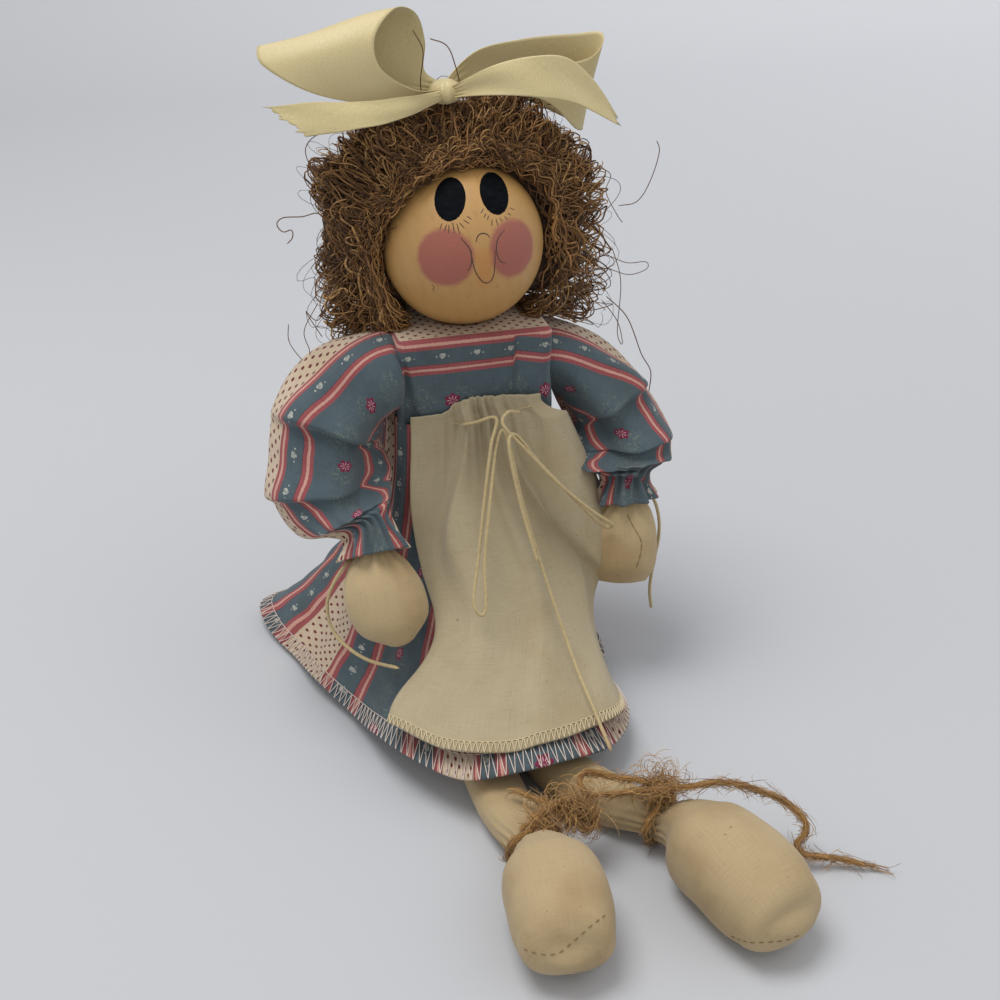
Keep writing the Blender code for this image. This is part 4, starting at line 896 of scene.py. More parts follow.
# %% Apron folds
# Each fold: place across at the top and at the hem, height in mm, width, and its sharp side.
APRON_FOLDS = ((0.35, 0.1, 5.2, 0.055, 1), (0.54, 0.5, 3.4, 0.028, 1), (0.69, 0.88, 3.8, 0.045, -1),
               (0.93, 0.96, 1.4, 0.04, 1))
folds = 0.0
for top, low, high, wide, lean in APRON_FOLDS:
    middle = top + (low - top) * np.clip(down, 0, 1)
    gap = lean * (across - middle) / (wide * (1 + 1.6 * np.clip(down, 0, 1)))
    folds = folds + high * np.exp(-np.where(gap > 0, 0.45, 2.6) * gap ** 2)
folds = folds * (1 - 0.6 * smooth_step(0.25, 0.95, down)) * (0.4 + 0.6 * smooth_step(-0.28, 0.0, down))
stand = last_stand * (0.35 + 0.65 * smooth_step(-0.2, 0.25, down)) + 7.5 * bump_at(0.48, 0.2)
lift = 4.8 + folds - 3.2 * (1 - smooth_step(0.0, 0.35, down))
lift = lift + first_stand * (1 - smooth_step(0, 0.3, across)) + stand * smooth_step(0.6, 1, across)
lift = lift + 7 * (1 - smooth_step(0, 0.2, across)) * smooth_step(0.5, 0.93, down)
drawn = np.exp(-((across - 0.5) / 0.28) ** 2)
pleats = np.cos(math.tau * 15 * across + 2 * np.sin(9 * across)) * (1 - smooth_step(0.0, 0.3, down))
lift = lift + drawn * (0.55 * pleats - 0.5 * bump_at(-0.1, 0.05))
lift = lift + 0.4 * waves(across * 22, down * 14, 9, 0.5, 1.6, 21) * smooth_step(0.0, 0.3, down)
apron_points = apron_base + apron_out * (MM * lift)[..., None]
apron = surface("apron_panel", apron_points, plain_cloth(rows, columns, APRON_WIDE, APRON_LONG),
                apron_muslin, wall=0.6 * MM, inside=(0, 0.02, 0.05))
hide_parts("apron")
hem_line, middle_line = apron_points[-1], apron_points[:, columns // 2]
print("apron hem and middle:", [round(float(run_length(p)[-1] / MM)) for p in (hem_line, middle_line)], "mm")

# %% [markdown]
# ## Overlocked hems
# An overlocker cuts the edge and wraps it: needle thread in a line some millimetres in, and loops
# that run from it to the edge and back. The thread is a tube that zigzags between the needle
# line and the edge, a little above the cloth.
# %% Thread
hem_thread = mottled("hem thread", 0.6, 260.0, 2, (226, 218, 206), (200, 172, 162), Sheen_Weight=0.1)
muslin_thread = mottled("apron thread", 0.6, 260.0, 2, (226, 210, 172), (196, 178, 142), Sheen_Weight=0.1)
# One stitch: share of the pitch, height in the hem (0 at the edge), and how far over the cloth (mm).
STITCH = np.array([(0, -0.12, 0.1), (0.05, 0.02, 0.45), (0.28, 0.5, 0.5), (0.45, 0.93, 0.5),
                   (0.5, 1.0, 0.25), (0.58, 0.9, 0.5), (0.8, 0.45, 0.5), (0.95, 0.02, 0.45)])


def overlock(name, points, out, pitch, deep, material, closed):
    """Hem stitches on a grid whose last row is the edge: zigzags from the edge to the needle line
    and back, pitch mm apart along the edge and deep mm high, plus the needle line."""
    row_step = float(np.linalg.norm(points[-1] - points[-2], axis=1).mean() / MM)
    if closed:
        points = np.concatenate([points, points[:, :1]], axis=1)
        out = np.concatenate([out, out[:, :1]], axis=1)
    last = points.shape[0] - 1
    run = run_length(points[-1]) / MM
    count = int(run[-1] / pitch)
    high, over = (np.tile(STITCH[:, k], count) for k in (1, 2))
    at = (np.arange(count)[:, None] * pitch + STITCH[:, 0] * pitch).ravel()
    columns = np.interp(at, run, np.arange(len(run)))
    rows = last - np.clip(high, 0, 1) * deep / row_step
    edge, inner = (read_grid(points, np.full(len(at), row), columns) for row in (float(last), last - 1.0))
    spot = read_grid(points, rows, columns) + read_grid(out, rows, columns) * (over * MM)[:, None]
    spot = spot + unit(edge - inner) * (np.clip(-high, 0, 1) * 2.0 * MM)[:, None]
    tubes(name, spot[None], np.full((1, len(spot)), 0.16 * MM), 5, material)
    at = np.linspace(0, run[-1], int(run[-1] / 0.7))
    columns = np.interp(at, run, np.arange(len(run)))
    rows = np.full(len(at), last - deep / row_step)
    wave = 0.22 + 0.12 * np.cos(math.tau * at / pitch)
    needle = read_grid(points, rows, columns) + read_grid(out, rows, columns) * (wave * MM)[:, None]
    tubes(name + "_needle", needle[None], np.full((1, len(at)), 0.17 * MM), 5, material)
    return count


stitches = overlock("skirt_overlock", skirt_points, skirt_out, 3.0, 5.2, hem_thread, True)
stitches += overlock("apron_overlock", apron_points, apron_out, 2.0, 4.2, muslin_thread, False)
print("hem stitches:", stitches)

# %% [markdown]
# ## Arms and legs
# Each limb is a muslin tube, stuffed, then tied with string. The tube is a ring carried along a
# path, with half widths that swell into the hand or foot. Ties pull the cloth into small pleats,
# and each toe is squared, widened and closed with a shallow dome.
# %% Limb shapes
# Arms: out from the block's side, forward and down in mm, then which half widths (A the arm's, W
# the wrist's, H the hand's) and their shares. Legs: x and forward in mm, L leg, A ankle or F foot.
RIGHT_ARM = [(0, 0, 0, "A", 1, 1), (8, 0, 0, "A", 1, 1), (18, 5, 11, "A", 1, 1),
             (23, 14, 24, "A", 1, 1), (24.5, 25, 35.3, "A", 1, 1), (19, 38, 43.5, "W", 1, 1),
             (18, 42.2, 49, "W", 1, 1), (17.3, 46, 55.4, "H", 0.78, 0.86), (16, 51.5, 62.6, "H", 1, 1),
             (13.6, 57, 71.4, "H", 0.88, 0.9), (12.2, 60.5, 77.4, "H", 0.3, 0.36)]
LEFT_ARM = [(0, 0, 0, "A", 1, 1), (8, 0, 0, "A", 1, 1), (19, 4, 11, "A", 1, 1),
            (27, 13, 22, "A", 1, 1), (30.8, 22.4, 32.5, "A", 1, 1), (28.2, 29.6, 41, "W", 1, 1),
            (27.7, 31.8, 47, "W", 1, 1), (27.1, 34, 53.8, "H", 0.8, 0.86), (26, 37.5, 62.5, "H", 1, 1),
            (25, 40.5, 71.5, "H", 0.98, 0.94), (24.3, 42.5, 77.5, "H", 0.72, 0.4)]
RIGHT_LEG = [(-12, 19.3, "L", 1), (-12, 45, "L", 1), (-15.5, 80, "L", 1), (-15, 108, "L", 1),
             (-12.5, 123, "L", 0.97), (-11.2, 134.5, "A", 1), (-11, 139.5, "A", 1),
             (-11.2, 146.5, "F", 0.64), (-11.6, 154, "F", 0.95), (-12.4, 166, "F", 1),
             (-13.6, 176, "F", 0.95), (-14.6, 183.5, "F", 0.7), (-15, 187, "F", 0.32)]
LEFT_LEG = [(12, 19.3, "L", 1), (12, 45, "L", 1), (7, 78, "L", 1), (7.5, 97, "L", 1),
            (19, 118, "L", 0.98), (31.4, 133, "A", 1), (34.2, 137.4, "A", 1), (37.8, 145.6, "F", 0.64),
            (40, 154, "F", 0.97), (44, 167, "F", 1.06), (47.6, 179, "F", 1.0), (50.6, 188.5, "F", 0.76),
            (51.8, 192.5, "F", 0.38)]
WRIST_ROW, ANKLE_ROW = 5, 5


def arm_rows(table, side, hand_width):
    half = {"A": (6.3, 6.3), "W": (6.0, 6.0), "H": (hand_width / 2, 9.5)}
    return np.array([(side * (25.3 + out), -forward, 119 - down, half[kind][0] * wide, half[kind][1] * deep)
                     for out, forward, down, kind, wide, deep in table]) * MM


def leg_rows(table):
    half = {"L": (9.25, 7.4), "A": (6.8, 6.2), "F": (15.75, 15.0)}
    rows = []
    for x, forward, kind, share in table:
        wide, tall = half[kind][0] * share, half[kind][1] * share
        middle = {"L": tall, "A": tall + 3.4, "F": max(tall, 13.5)}[kind]
        rows.append((x, -forward, middle + 0.3, wide, tall))
    return np.array(rows) * MM


def limb(name, rows, sideways, tie, seed, toe=0.0):
    """A stuffed tube: at each step the ring is centre + a cos t across + b sin t over, where the
    ring's corners are slightly squared, so it looks stuffed rather than turned. tie is the row of
    the tie, and toe is 1 for a foot."""
    count, columns = 130, 80
    values = through(rows, count)
    path = values[:, :3]
    ahead = unit(np.gradient(path, axis=0))
    across = unit(sideways - (ahead @ sideways)[:, None] * ahead)
    over = np.cross(ahead, across)
    run = run_length(path)
    turn = full_turn(columns)
    tie_run = np.interp(tie / (len(rows) - 1), np.linspace(0, 1, count), run)
    reach = (run[:, None] - tie_run) / MM
    near = np.exp(-np.abs(reach) / 7.0)
    pull = np.exp(-(reach / 1.6) ** 2)
    pleat = 0.75 * MM * near * np.cos(13 * turn + 1.7 * np.sin(3 * turn + seed)) - 0.5 * MM * pull
    swell = pleat + 0.35 * MM * waves(2.0 * turn, 0.16 * reach, 8, 0.5, 1.6, seed) * (1 - near)
    closing = np.clip((run[-1] - run[:, None]) / MM / 9.0, 0, 1)
    x, y = np.cos(turn), np.sin(turn)
    squared = (np.abs(x) ** 2.5 + np.abs(y) ** 2.5) ** (-1 / 2.5)
    squared = 1 + (squared - 1) * (0.6 if toe else 0.35)
    wide = (values[:, 3, None] * squared + swell) * (1 + toe * 0.22 * (1 - closing)) * x
    tall = (values[:, 4, None] * squared + swell) * (1 - toe * 0.25 * (1 - closing) ** 2) * y
    points = path[:, None] + wide[..., None] * across[:, None] + tall[..., None] * over[:, None]
    start, end = (np.broadcast_to(ring.mean(axis=0), ring.shape) for ring in (points[0], points[-1]))
    bulge = ahead[-1] * (0.8 + 0.8 * toe) * MM
    inner = points[-1] * 0.55 + end * 0.45 + bulge
    points = np.concatenate([start[None], points, inner[None], (end + 1.4 * bulge)[None]])
    points[..., 2] = np.maximum(points[..., 2], 0.25 * MM)
    girth = math.tau * np.sqrt(values[:, 3] * values[:, 4]).max() / MM
    v = np.concatenate([[0], run, [run[-1] + 4 * MM, run[-1] + 8 * MM]]) / MM
    cloth = np.stack(np.broadcast_arrays(np.linspace(0, girth, columns + 1)[None, :], v[:, None]), -1)
    piece = surface(name, points, cloth, limb_muslin, closed=True, inside=path[count // 2], poles=True)
    return piece


RIGHT_ARM_ROWS, LEFT_ARM_ROWS = arm_rows(RIGHT_ARM, -1, 29), arm_rows(LEFT_ARM, 1, 25)
RIGHT_LEG_ROWS, LEFT_LEG_ROWS = leg_rows(RIGHT_LEG), leg_rows(LEFT_LEG)
ALONG_X = np.array([1.0, 0.0, 0.0])
right_arm = limb("right_stuffed_arm", RIGHT_ARM_ROWS, np.array([1.0, 0.0, -0.35]), 6, 2)
left_arm = limb("left_stuffed_arm", LEFT_ARM_ROWS, np.array([1.0, 0.0, 0.35]), 6, 4)
right_leg = limb("right_stuffed_leg", RIGHT_LEG_ROWS, ALONG_X, 5.15, 5, toe=1)
left_leg = limb("left_stuffed_leg", LEFT_LEG_ROWS, ALONG_X, 5.15, 9, toe=1)
for piece, node_name in ((right_arm, "right_arm"), (left_arm, "left_arm"),
                         (right_leg, "right_leg"), (left_leg, "left_leg")):
    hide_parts(node_name)

# %% [markdown]
# ## Strings and ties
# Cotton string has a few plies twisted together, which shows as slanting ridges. Jute is looser:
# a core with many fibres that stand off it. A cord's section is a ring with one bump for each
# ply, and the bumps turn as the ring moves along.
# %% String materials
cotton = mottled("cotton string", 0.8, 900.0, 3, (200, 180, 134), (160, 138, 96), Sheen_Weight=0.2)
jute, g = finish("jute", 0.8, Sheen_Weight=0.15)
g.colour(g.mix(g.tone(), linear(126, 88, 44), linear(208, 164, 100)))
jute_core = mottled("jute core", 0.85, 800.0, 3, (116, 80, 38), (180, 136, 76), Sheen_Weight=0.15)


def carried_frame(path):
    """Directions square to a path, carried from point to point without twist."""
    ahead = unit(np.gradient(path, axis=0))
    side = unit(np.cross(ahead[0], [0.3, 0.5, 0.81]))
    sides = []
    for step in ahead:
        side = unit(side - (side @ step) * step)
        sides.append(side)
    sides = np.array(sides)
    return ahead, sides, np.cross(ahead, sides)


def twisted(name, route, radius, plies, pitch, material):
    """A twisted cord: the ring's radius has one bump for each ply, |cos| of the turn less the twist."""
    line = through(np.asarray(route) * MM, 40 * len(route))
    path = evenly(line, int(run_length(line)[-1] / (0.6 * MM)))
    _, side, over = carried_frame(path)
    turn = full_turn(14)
    twist = math.tau * run_length(path)[:, None] / (pitch * MM)
    bump = 0.8 + 0.2 * np.abs(np.cos((turn - twist) * plies / 2))
    from_end = np.minimum(np.arange(len(path)), np.arange(len(path))[::-1])[:, None]
    wide = radius * MM * bump * np.clip(from_end / 2, 0.03, 1)
    across, upward = wide * np.cos(turn), wide * np.sin(turn)
    grid = path[:, None] + across[..., None] * side[:, None] + upward[..., None] * over[:, None]
    piece = surface(name, grid, plain_cloth(len(path), 15, 4, 100), material, closed=True)
    return piece, path


def turns_round(middle, ahead, half, thickness, start, turns, side=1):
    """Points (mm) of a tie wound round a limb, with its turns side by side."""
    level = unit(np.cross(ahead, [0.0, 0.0, 1.0])) * side
    top = unit(np.cross(level, ahead)) * side
    reach = np.asarray(half) + thickness / 2 + 0.8 * MM
    share = np.linspace(0, 1, math.ceil(8 * turns) + 1)[:, None]
    angle = math.radians(start) + math.tau * turns * share
    along = (turns * share - turns / 2) * (thickness + 2 * GAP)
    return (middle + level * reach[0] * np.cos(angle) + top * reach[1] * np.sin(angle) + ahead * along) / MM


def tied_round(rows, at, share, thickness, start, turns, side, tail):
    """A tie's points: turns round the limb at share of the way past row at, then its tail."""
    ahead = rows[at + 1] - rows[at]
    place = rows[at] + share * ahead
    ring = turns_round(place[:3], unit(ahead[:3]), place[3:], thickness * MM, start, turns, side)
    return np.vstack([ring, tail])


# %% Routes
APRON_STRING_RIGHT = [(-7.5, -26.8, 105.8), (-3.5, -30.5, 108), (3.5, -34, 110.5), (0, -40, 103),
                      (-4, -47, 88), (-9, -57, 70), (-13, -66, 58), (-11, -69, 54), (-9, -67, 57),
                      (-7, -58, 70), (-2.2, -48, 88), (1.6, -40, 101), (5, -36.5, 107), (7, -40, 101),
                      (9, -49, 84), (13, -60, 64), (17, -72, 46), (19, -84, 36), (20, -97, 31),
                      (21, -107, 26.5), (22, -113, 22.5)]
APRON_STRING_LEFT = [(13.1, -29.8, 109.7), (10.5, -33, 111.6), (7, -35.5, 113), (4.5, -39.5, 110.5),
                     (12, -42, 101), (22, -45, 89), (33, -47, 78), (41, -47, 71), (44, -45, 67.5),
                     (42, -43, 66), (37, -44, 71), (27, -43.5, 83), (17, -41, 95), (9, -39.5, 106),
                     (5.5, -43.5, 104), (7.5, -51, 86), (11, -61.5, 67)]
RIGHT_WRIST_TAIL = [(-53.5, -45, 66.5), (-58, -46.5, 61), (-60.8, -47, 53.5), (-60.5, -49.5, 45.5),
                    (-57, -54.5, 40.5), (-50, -61, 37), (-40, -67.5, 36)]
LEFT_WRIST_TAIL = [(63.5, -33.5, 69.5), (66.5, -33, 61), (67.5, -32, 51), (66, -32.5, 41),
                   (64.4, -34, 30), (65.6, -34, 20)]
LEFT_ANKLE_TAIL = [(34, -135.4, 22), (28, -131, 23.5), (18, -125.5, 23.5), (11, -122.5, 24.5),
                   (7, -124.5, 24), (9, -129.5, 21.5), (19, -132, 22), (29, -136.5, 25),
                   (39, -140, 27), (49, -139.5, 26), (58.5, -141, 23), (68.8, -144.5, 18.5),
                   (74.6, -150.2, 14), (74.7, -152.8, 10.5), (71, -155, 8), (73, -157.5, 5.5),
                   (81.3, -159.5, 4), (91.2, -163.7, 2.5)]
RIGHT_ANKLE_TAIL = [(-9.5, -135, 21.8), (-3, -132.5, 23.5), (4.5, -133, 23), (8.5, -137, 17.5),
                    (4.5, -139.5, 16.5), (1, -136, 20), (-3.5, -129.5, 19.8), (-8, -124.5, 19.5)]
STRING, TWINE = 1.3, 2.2
WRIST_TIE = (WRIST_ROW, 1.0, STRING, 240, 1.25)
ANKLE_TIE = (ANKLE_ROW, 0.15, TWINE, 60, 1.05)
CORDS = {
    "apron_string_right": (APRON_STRING_RIGHT, STRING, "knot"),
    "apron_string_left": (APRON_STRING_LEFT, STRING, "bare"),
    "right_wrist_string": (tied_round(RIGHT_ARM_ROWS, *WRIST_TIE, 1, RIGHT_WRIST_TAIL), STRING, "bare"),
    "left_wrist_string": (tied_round(LEFT_ARM_ROWS, *WRIST_TIE, -1, LEFT_WRIST_TAIL), STRING, "bare"),
    "right_ankle_tie": (tied_round(RIGHT_LEG_ROWS, *ANKLE_TIE, 1, RIGHT_ANKLE_TAIL), TWINE, "bare"),
    "left_ankle_tie": (tied_round(LEFT_LEG_ROWS, *ANKLE_TIE, 1, LEFT_ANKLE_TAIL), TWINE, "bare")}


def loose_fibres(name, spot, random):
    """Fine jute fibres along rows of points, kept above the floor."""
    count = len(spot)
    spot[..., 2] = np.maximum(spot[..., 2], 0.4 * MM)
    radii = np.broadcast_to(random.uniform(0.05, 0.12, count)[:, None] * MM, spot.shape[:2])
    return tubes(name, spot, radii, 3, jute, random.uniform(0, 1, count))


def fibres(name, path, count, spread, seed):
    """Loose jute fibres: each follows a stretch of the tie, winds round it and strays at its ends.
    Past the tie's end they run on for at most FRAY."""
    random = np.random.default_rng(seed)
    ahead, side, over = carried_frame(path)
    run = run_length(path)
    long = np.minimum(8 + random.exponential(9, count), 44) * MM
    begin = random.uniform(-0.02, 1.0, count) * (run[-1] - 6 * MM)
    share = np.linspace(0, 1, 14)[None, :]
    at = begin[:, None] + long[:, None] * share
    inside = np.clip(at, 0, run[-1])
    beyond = FRAY * (1 - np.exp(-np.clip(at - run[-1], 0, None) / FRAY))
    centre, side, over = (np.stack([np.interp(inside, run, values[:, k]) for k in range(3)], -1)
                          for values in (path, side, over))
    turn = random.uniform(0, 6.3, count)[:, None] + random.uniform(-3, 3, count)[:, None] * share
    loose = (2 * share - 1) ** 2
    stray = spread * random.exponential(1.0, count)[:, None] * loose
    away = (0.5 + stray + 0.35 * np.sin(9 * share + turn)) * MM
    spot = centre + (away * np.cos(turn))[..., None] * side + (away * np.sin(turn))[..., None] * over
    spot = spot + beyond[..., None] * ahead[-1] - [0, 0, 1.0] * (loose * spread * 0.8 * MM)[..., None]
    return loose_fibres(name, spot, random)


def tuft(name, middle, size, count, seed):
    """A frayed knot: short curly fibres, each an arc round its own axis, in an egg of the given size."""
    random = np.random.default_rng(seed)
    points = 12
    begin = unit(random.normal(size=(count, 3))) * random.uniform(0.1, 1, (count, 1)) ** 0.6 * size
    axis = unit(random.normal(size=(count, 3)))
    side = unit(np.cross(axis, random.normal(size=(count, 3))))
    over = np.cross(axis, side)
    bend = (random.uniform(1.5, 5, (count, 1)) * MM)[..., None]
    turn = (np.linspace(0, 1, points)[None, :] * random.uniform(1, 4.5, (count, 1)))[..., None]
    spot = np.array(middle) * MM + begin[:, None] * MM + bend * (
        side[:, None] * np.sin(turn) + over[:, None] * (1 - np.cos(turn)) + axis[:, None] * 0.3 * turn)
    return loose_fibres(name, spot, random)


FRAY = 13 * MM
FIBRE_COUNT = {"left_ankle_tie": 900, "right_ankle_tie": 800}
TUFTS = {"left_ankle_tie": [((32, -133.5, 23), (5.5, 4, 3.5), 420)],
         "right_ankle_tie": [((2, -134, 20), (8.5, 4.5, 5.5), 620), ((-8, -137, 21), (4, 4, 4), 160)]}
for name, (route, diameter, far_end) in CORDS.items():
    if name in TUFTS:
        piece, path = twisted(name + "_cord", route, diameter * 0.36, 2, 7.0, jute_core)
        fibres(name + "_fibres", path, FIBRE_COUNT[name], 1.3, 31)
        for k, (middle, size, count) in enumerate(TUFTS[name]):
            tuft("%s_tuft_%d" % (name, k), middle, size, count, 40 + k)
    else:
        piece, path = twisted(name + "_cord", route, diameter * 0.5, 3, 4.2, cotton)
    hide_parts(name)

# %% [markdown]
# ## Hair
# The hair is curly vine, a mass of springy brown stems glued over the ball, open at the face and
# longer at both sides. Under it lies the mass's matted core, coloured dark as painted shade deep in
# the hair. Each stem starts somewhere in the mass and meanders over the ball. Stems that would
# cross the face are turned back to the edge of the opening.
# %% Vine material
vine, g = finish("curly vine", 0.62)
colour = g.node("ValToRGB", {0: g.tone()})
colour.color_ramp.elements[0].color = linear(58, 36, 16)
colour.color_ramp.elements[1].color = linear(206, 162, 104)
colour.color_ramp.elements.new(0.35).color = linear(118, 80, 40)
colour.color_ramp.elements.new(0.7).color = linear(164, 118, 66)
blotch = g.times(g.noise(g.space(), 500.0, 2), 0.3)
g.colour(g.mix(blotch, colour.outputs[0], linear(58, 36, 18)))
# The core's near-black brown is painted shade for the depth of the vine mass; its mottle and bump are the
# tangle.
vine_core_shade, g = finish("vine core in painted shade", 0.9)
tangle = g.noise(g.space(), 620.0, 4, 0.7)
g.colour(g.mix(g.spread(tangle, 0.4, 0.65), linear(34, 22, 13), linear(96, 64, 36)))
g.bump(tangle, 0.9, 0.0012)

# %% Hair shape
# The face opening: turn round its axis in degrees, from 90 on, and half angle there.
HAIR_EDGE = [(90, 97), (135, 87), (180, 72), (207, 52), (232, 84),
             (270, 113), (308, 84), (333, 50), (360, 68), (405, 87)]
TILT = math.radians(35)
FACE_AXIS = np.array([0, -math.cos(TILT), -math.sin(TILT)])
FACE_UP = np.array([0, -math.sin(TILT), math.cos(TILT)])
FACE_SIDE = np.array([1.0, 0.0, 0.0])
KNOT = HEAD + np.array([-4.0, 3.0, 50.86]) * MM


def hair_reach(way):
    """How far the hair reaches in each direction: fullest at the crown and the sides, less behind,
    dented under the bow, and stopped above the shoulders."""
    x, y, z = way[..., 0], way[..., 1], way[..., 2]
    reach = 43 + 7 * smooth_step(0.2, 0.9, z) + 9.5 * smooth_step(0.35, 0.95, np.abs(x))
    reach = reach + 4.5 * smooth_step(0.8, 0.98, x * 0.79 - y * 0.08 - z * 0.6)
    reach = reach - 2.0 * smooth_step(0.8, 0.98, -x * 0.86 - y * 0.1 - z * 0.5)
    reach = reach - 5 * smooth_step(-0.45, -0.75, z)
    reach = (reach - 4.5 * smooth_step(0.93, 0.985, way @ unit(KNOT - HEAD))) * MM
    past = np.clip(np.abs(x) * reach - BODICE_HALF[0], 0, None)
    rest = BODICE_TOP + 2.8 * MM - 0.3 * past
    return np.where(z < -0.1, np.minimum(reach, (HEAD[2] - rest) / np.clip(-z, 0.1, None)), reach)


def to_polar(way):
    """Angle from the face opening's axis and turn round it."""
    return (np.arccos(np.clip(way @ FACE_AXIS, -1, 1)),
            np.arctan2(way @ FACE_UP, way @ FACE_SIDE))


def from_polar(away, turn):
    """The unit direction at an angle from the opening's axis and a turn round it."""
    square = np.cos(turn)[..., None] * FACE_SIDE + np.sin(turn)[..., None] * FACE_UP
    return np.cos(away)[..., None] * FACE_AXIS + np.sin(away)[..., None] * square


edge_fine = round_through([(row[1],) for row in HAIR_EDGE[:-1]], 360)[:, 0]
edge_turn = np.interp(np.arange(360) * (len(HAIR_EDGE) - 1) / 360, np.arange(len(HAIR_EDGE)),
                      [row[0] for row in HAIR_EDGE])


def opening(turn):
    """The opening's half angle (radians) at each turn round its axis."""
    degrees = np.mod(np.degrees(turn) - 90, 360) + 90
    return np.radians(np.interp(degrees, edge_turn, edge_fine))


def brushed(turn):
    """The opening as the curls leave it: the fringe is swept back by 8 and 12 degrees at two spots."""
    left = 8 * np.exp(3 * (np.cos(turn - 2.23) - 1))
    right = 12 * np.exp(8 * (np.cos(turn - 1.19) - 1))
    return opening(turn) + np.radians(left + right)


rows, columns = 60, 200
turn = full_turn(columns)
share = np.linspace(0, 1, rows)[:, None]
edge = brushed(turn) + 0.1
away = edge + (math.pi - edge) * share
way = from_polar(away, turn + 0 * share)
fill = 0.8 + 0.04 * smooth_step(0.1, 0.7, way[..., 2])
core = BALL_RADIUS + fill * (hair_reach(way) - BALL_RADIUS) * smooth_step(-0.02, 0.3, share)
tangle = waves(way[..., 0] * 30, way[..., 2] * 30 + way[..., 1] * 17, 10, 0.5, 1.6, 3)
core = core + 0.9 * MM * tangle * smooth_step(0, 0.1, share)
core = np.maximum(core, BALL_RADIUS + 0.3 * MM)
hair_core = surface("hair_core", HEAD + way * core[..., None], plain_cloth(rows, columns + 1, 200, 80),
                    vine_core_shade, closed=True, inside=HEAD, poles=True)
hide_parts("hair_wig")


# %% Stems
def stems(name, count, seed, thick, deep, crowd=1.15, stray=0.0):
    """Curly stems on the ball. Each is a curve whose heading swings as a sum of two sines, so it
    meanders and sometimes loops. It runs downwards at the sides and sideways at the fringe. deep
    is how far out in the mass it lies, crowd above 1 gathers stems at the opening's edge, and
    stray above 0 lifts their middles out of the mass."""
    random = np.random.default_rng(seed)
    points = 30

    def each(low, high):
        return random.uniform(low, high, (count, 1))

    # Where each stem lies, and its two directions over the ball. A part of those at the left
    # side moves over to the right one, which is fuller.
    turn = random.uniform(0, math.tau, count)
    edge = brushed(turn)
    cap = np.cos(edge) - (1 + np.cos(edge)) * random.uniform(0, 1, count) ** crowd
    way = from_polar(np.arccos(cap), turn)
    keep = (way[:, 0] < 0.45) | (way[:, 2] > 0.35) | (random.uniform(0, 1, count) < 0.55)
    way = np.where(keep[:, None], way, from_polar(np.arccos(cap), math.pi - turn))
    lean = unit(np.cross(way, random.normal(size=(count, 3))))
    fall = np.array([0, 0, -1.0]) + way * way[:, 2:]
    lean = unit(lean + 1.8 * fall * smooth_step(0.35, 0.75, np.abs(way[:, :1])))
    sweep = np.cross(way, FACE_AXIS) * smooth_step(0.2, 0.6, way[:, 2:])
    lean = unit(lean + 1.3 * sweep * (np.arccos(cap) - edge < 0.5)[:, None])
    side = np.cross(way, lean)
    # The meander: run is the length along the stem in mm, from its middle.
    run = np.linspace(-0.5, 0.5, points)[None, :] * each(12, 42)
    swing = each(0.3, 1.0) * each(0.5, 1.9)
    bend = swing * np.sin(math.tau * run / each(9, 26) + each(0, 6.3))
    bend = bend + random.normal(0, 0.02, (count, 1)) * run
    bend = bend + 0.5 * swing * np.sin(math.tau * run / each(7, 12) + each(0, 6.3))
    step = (run[:, 1:2] - run[:, :1]) / 38
    ahead, aside = np.cumsum(np.cos(bend), 1) * step, np.cumsum(np.sin(bend), 1) * step
    ahead, aside = ((line - line.mean(1, keepdims=True))[..., None] for line in (ahead, aside))
    spot = unit(way[:, None] + lean[:, None] * ahead + side[:, None] * aside)
    angle, around = to_polar(spot)
    angle = np.maximum(angle, brushed(around) + 0.02 + 0.045 * random.normal(size=(count, 1)))
    spot = from_polar(angle, around)
    # How far out: between the ball and the hair's reach, lower near the opening.
    hug = 0.3 + 0.7 * smooth_step(-0.05, 0.5, angle - brushed(around))
    hug = hug * (1 - 0.2 * smooth_step(0.4, 0.9, -spot[..., 0]))
    x, y, z = np.moveaxis(spot, -1, 0)
    clump = 0.16 * waves(x * 7 + y * 4, z * 7 - y * 5, 12, 0.6, 1.8, 9)
    top = (hair_reach(spot) - BALL_RADIUS) * hug * (0.94 + clump)
    level = each(*deep) + 0.16 * np.sin(math.tau * run / each(7, 16) + each(0, 6.3))
    far = BALL_RADIUS + 0.7 * MM + top * np.clip(level, 0.02, 1.12 + stray)
    far = far + stray * 7 * MM * np.sin(math.pi * (run / run[:, -1:] + 1) / 2) * each(0, 1)
    paths = HEAD + spot * np.maximum(far, BALL_RADIUS + 0.5 * MM)[..., None]
    sag = smooth_step(0.35, 0.8, np.abs(x)) * smooth_step(0.2, -0.6, z)
    low = BODICE_TOP + 0.6 * MM - 0.5 * np.clip(np.abs(paths[..., 0]) - BODICE_HALF[0], 0, None)
    paths[..., 2] = np.maximum(paths[..., 2] - sag * each(0, 12) * MM, low)
    taper = 0.7 + 0.3 * np.cos(math.pi * run / run[:, -1:] / 2) ** 0.5
    tone = random.beta(1.3, 1.35, count) * (0.2 if stray else 1.0)
    return tubes(name, paths, each(*thick) * MM * taper, 3, vine, tone)


# Each heap: count, seed, thickness in mm, depth in the mass, then crowd and stray.
HEAPS = {"inner": (700, 51, (0.18, 0.32), (0.55, 0.92)), "middle": (900, 52, (0.18, 0.36), (0.65, 1.0)),
         "outer": (600, 53, (0.18, 0.4), (0.75, 1.05)), "edge": (750, 54, (0.16, 0.36), (0.1, 1.0), 3.5),
         "bark": (70, 55, (0.4, 0.65), (0.6, 1.0), 1.4),
         "wires": (130, 56, (0.08, 0.13), (0.9, 1.1), 1.1, 1.0)}
for name, values in HEAPS.items():
    stems("vine_" + name, *values)

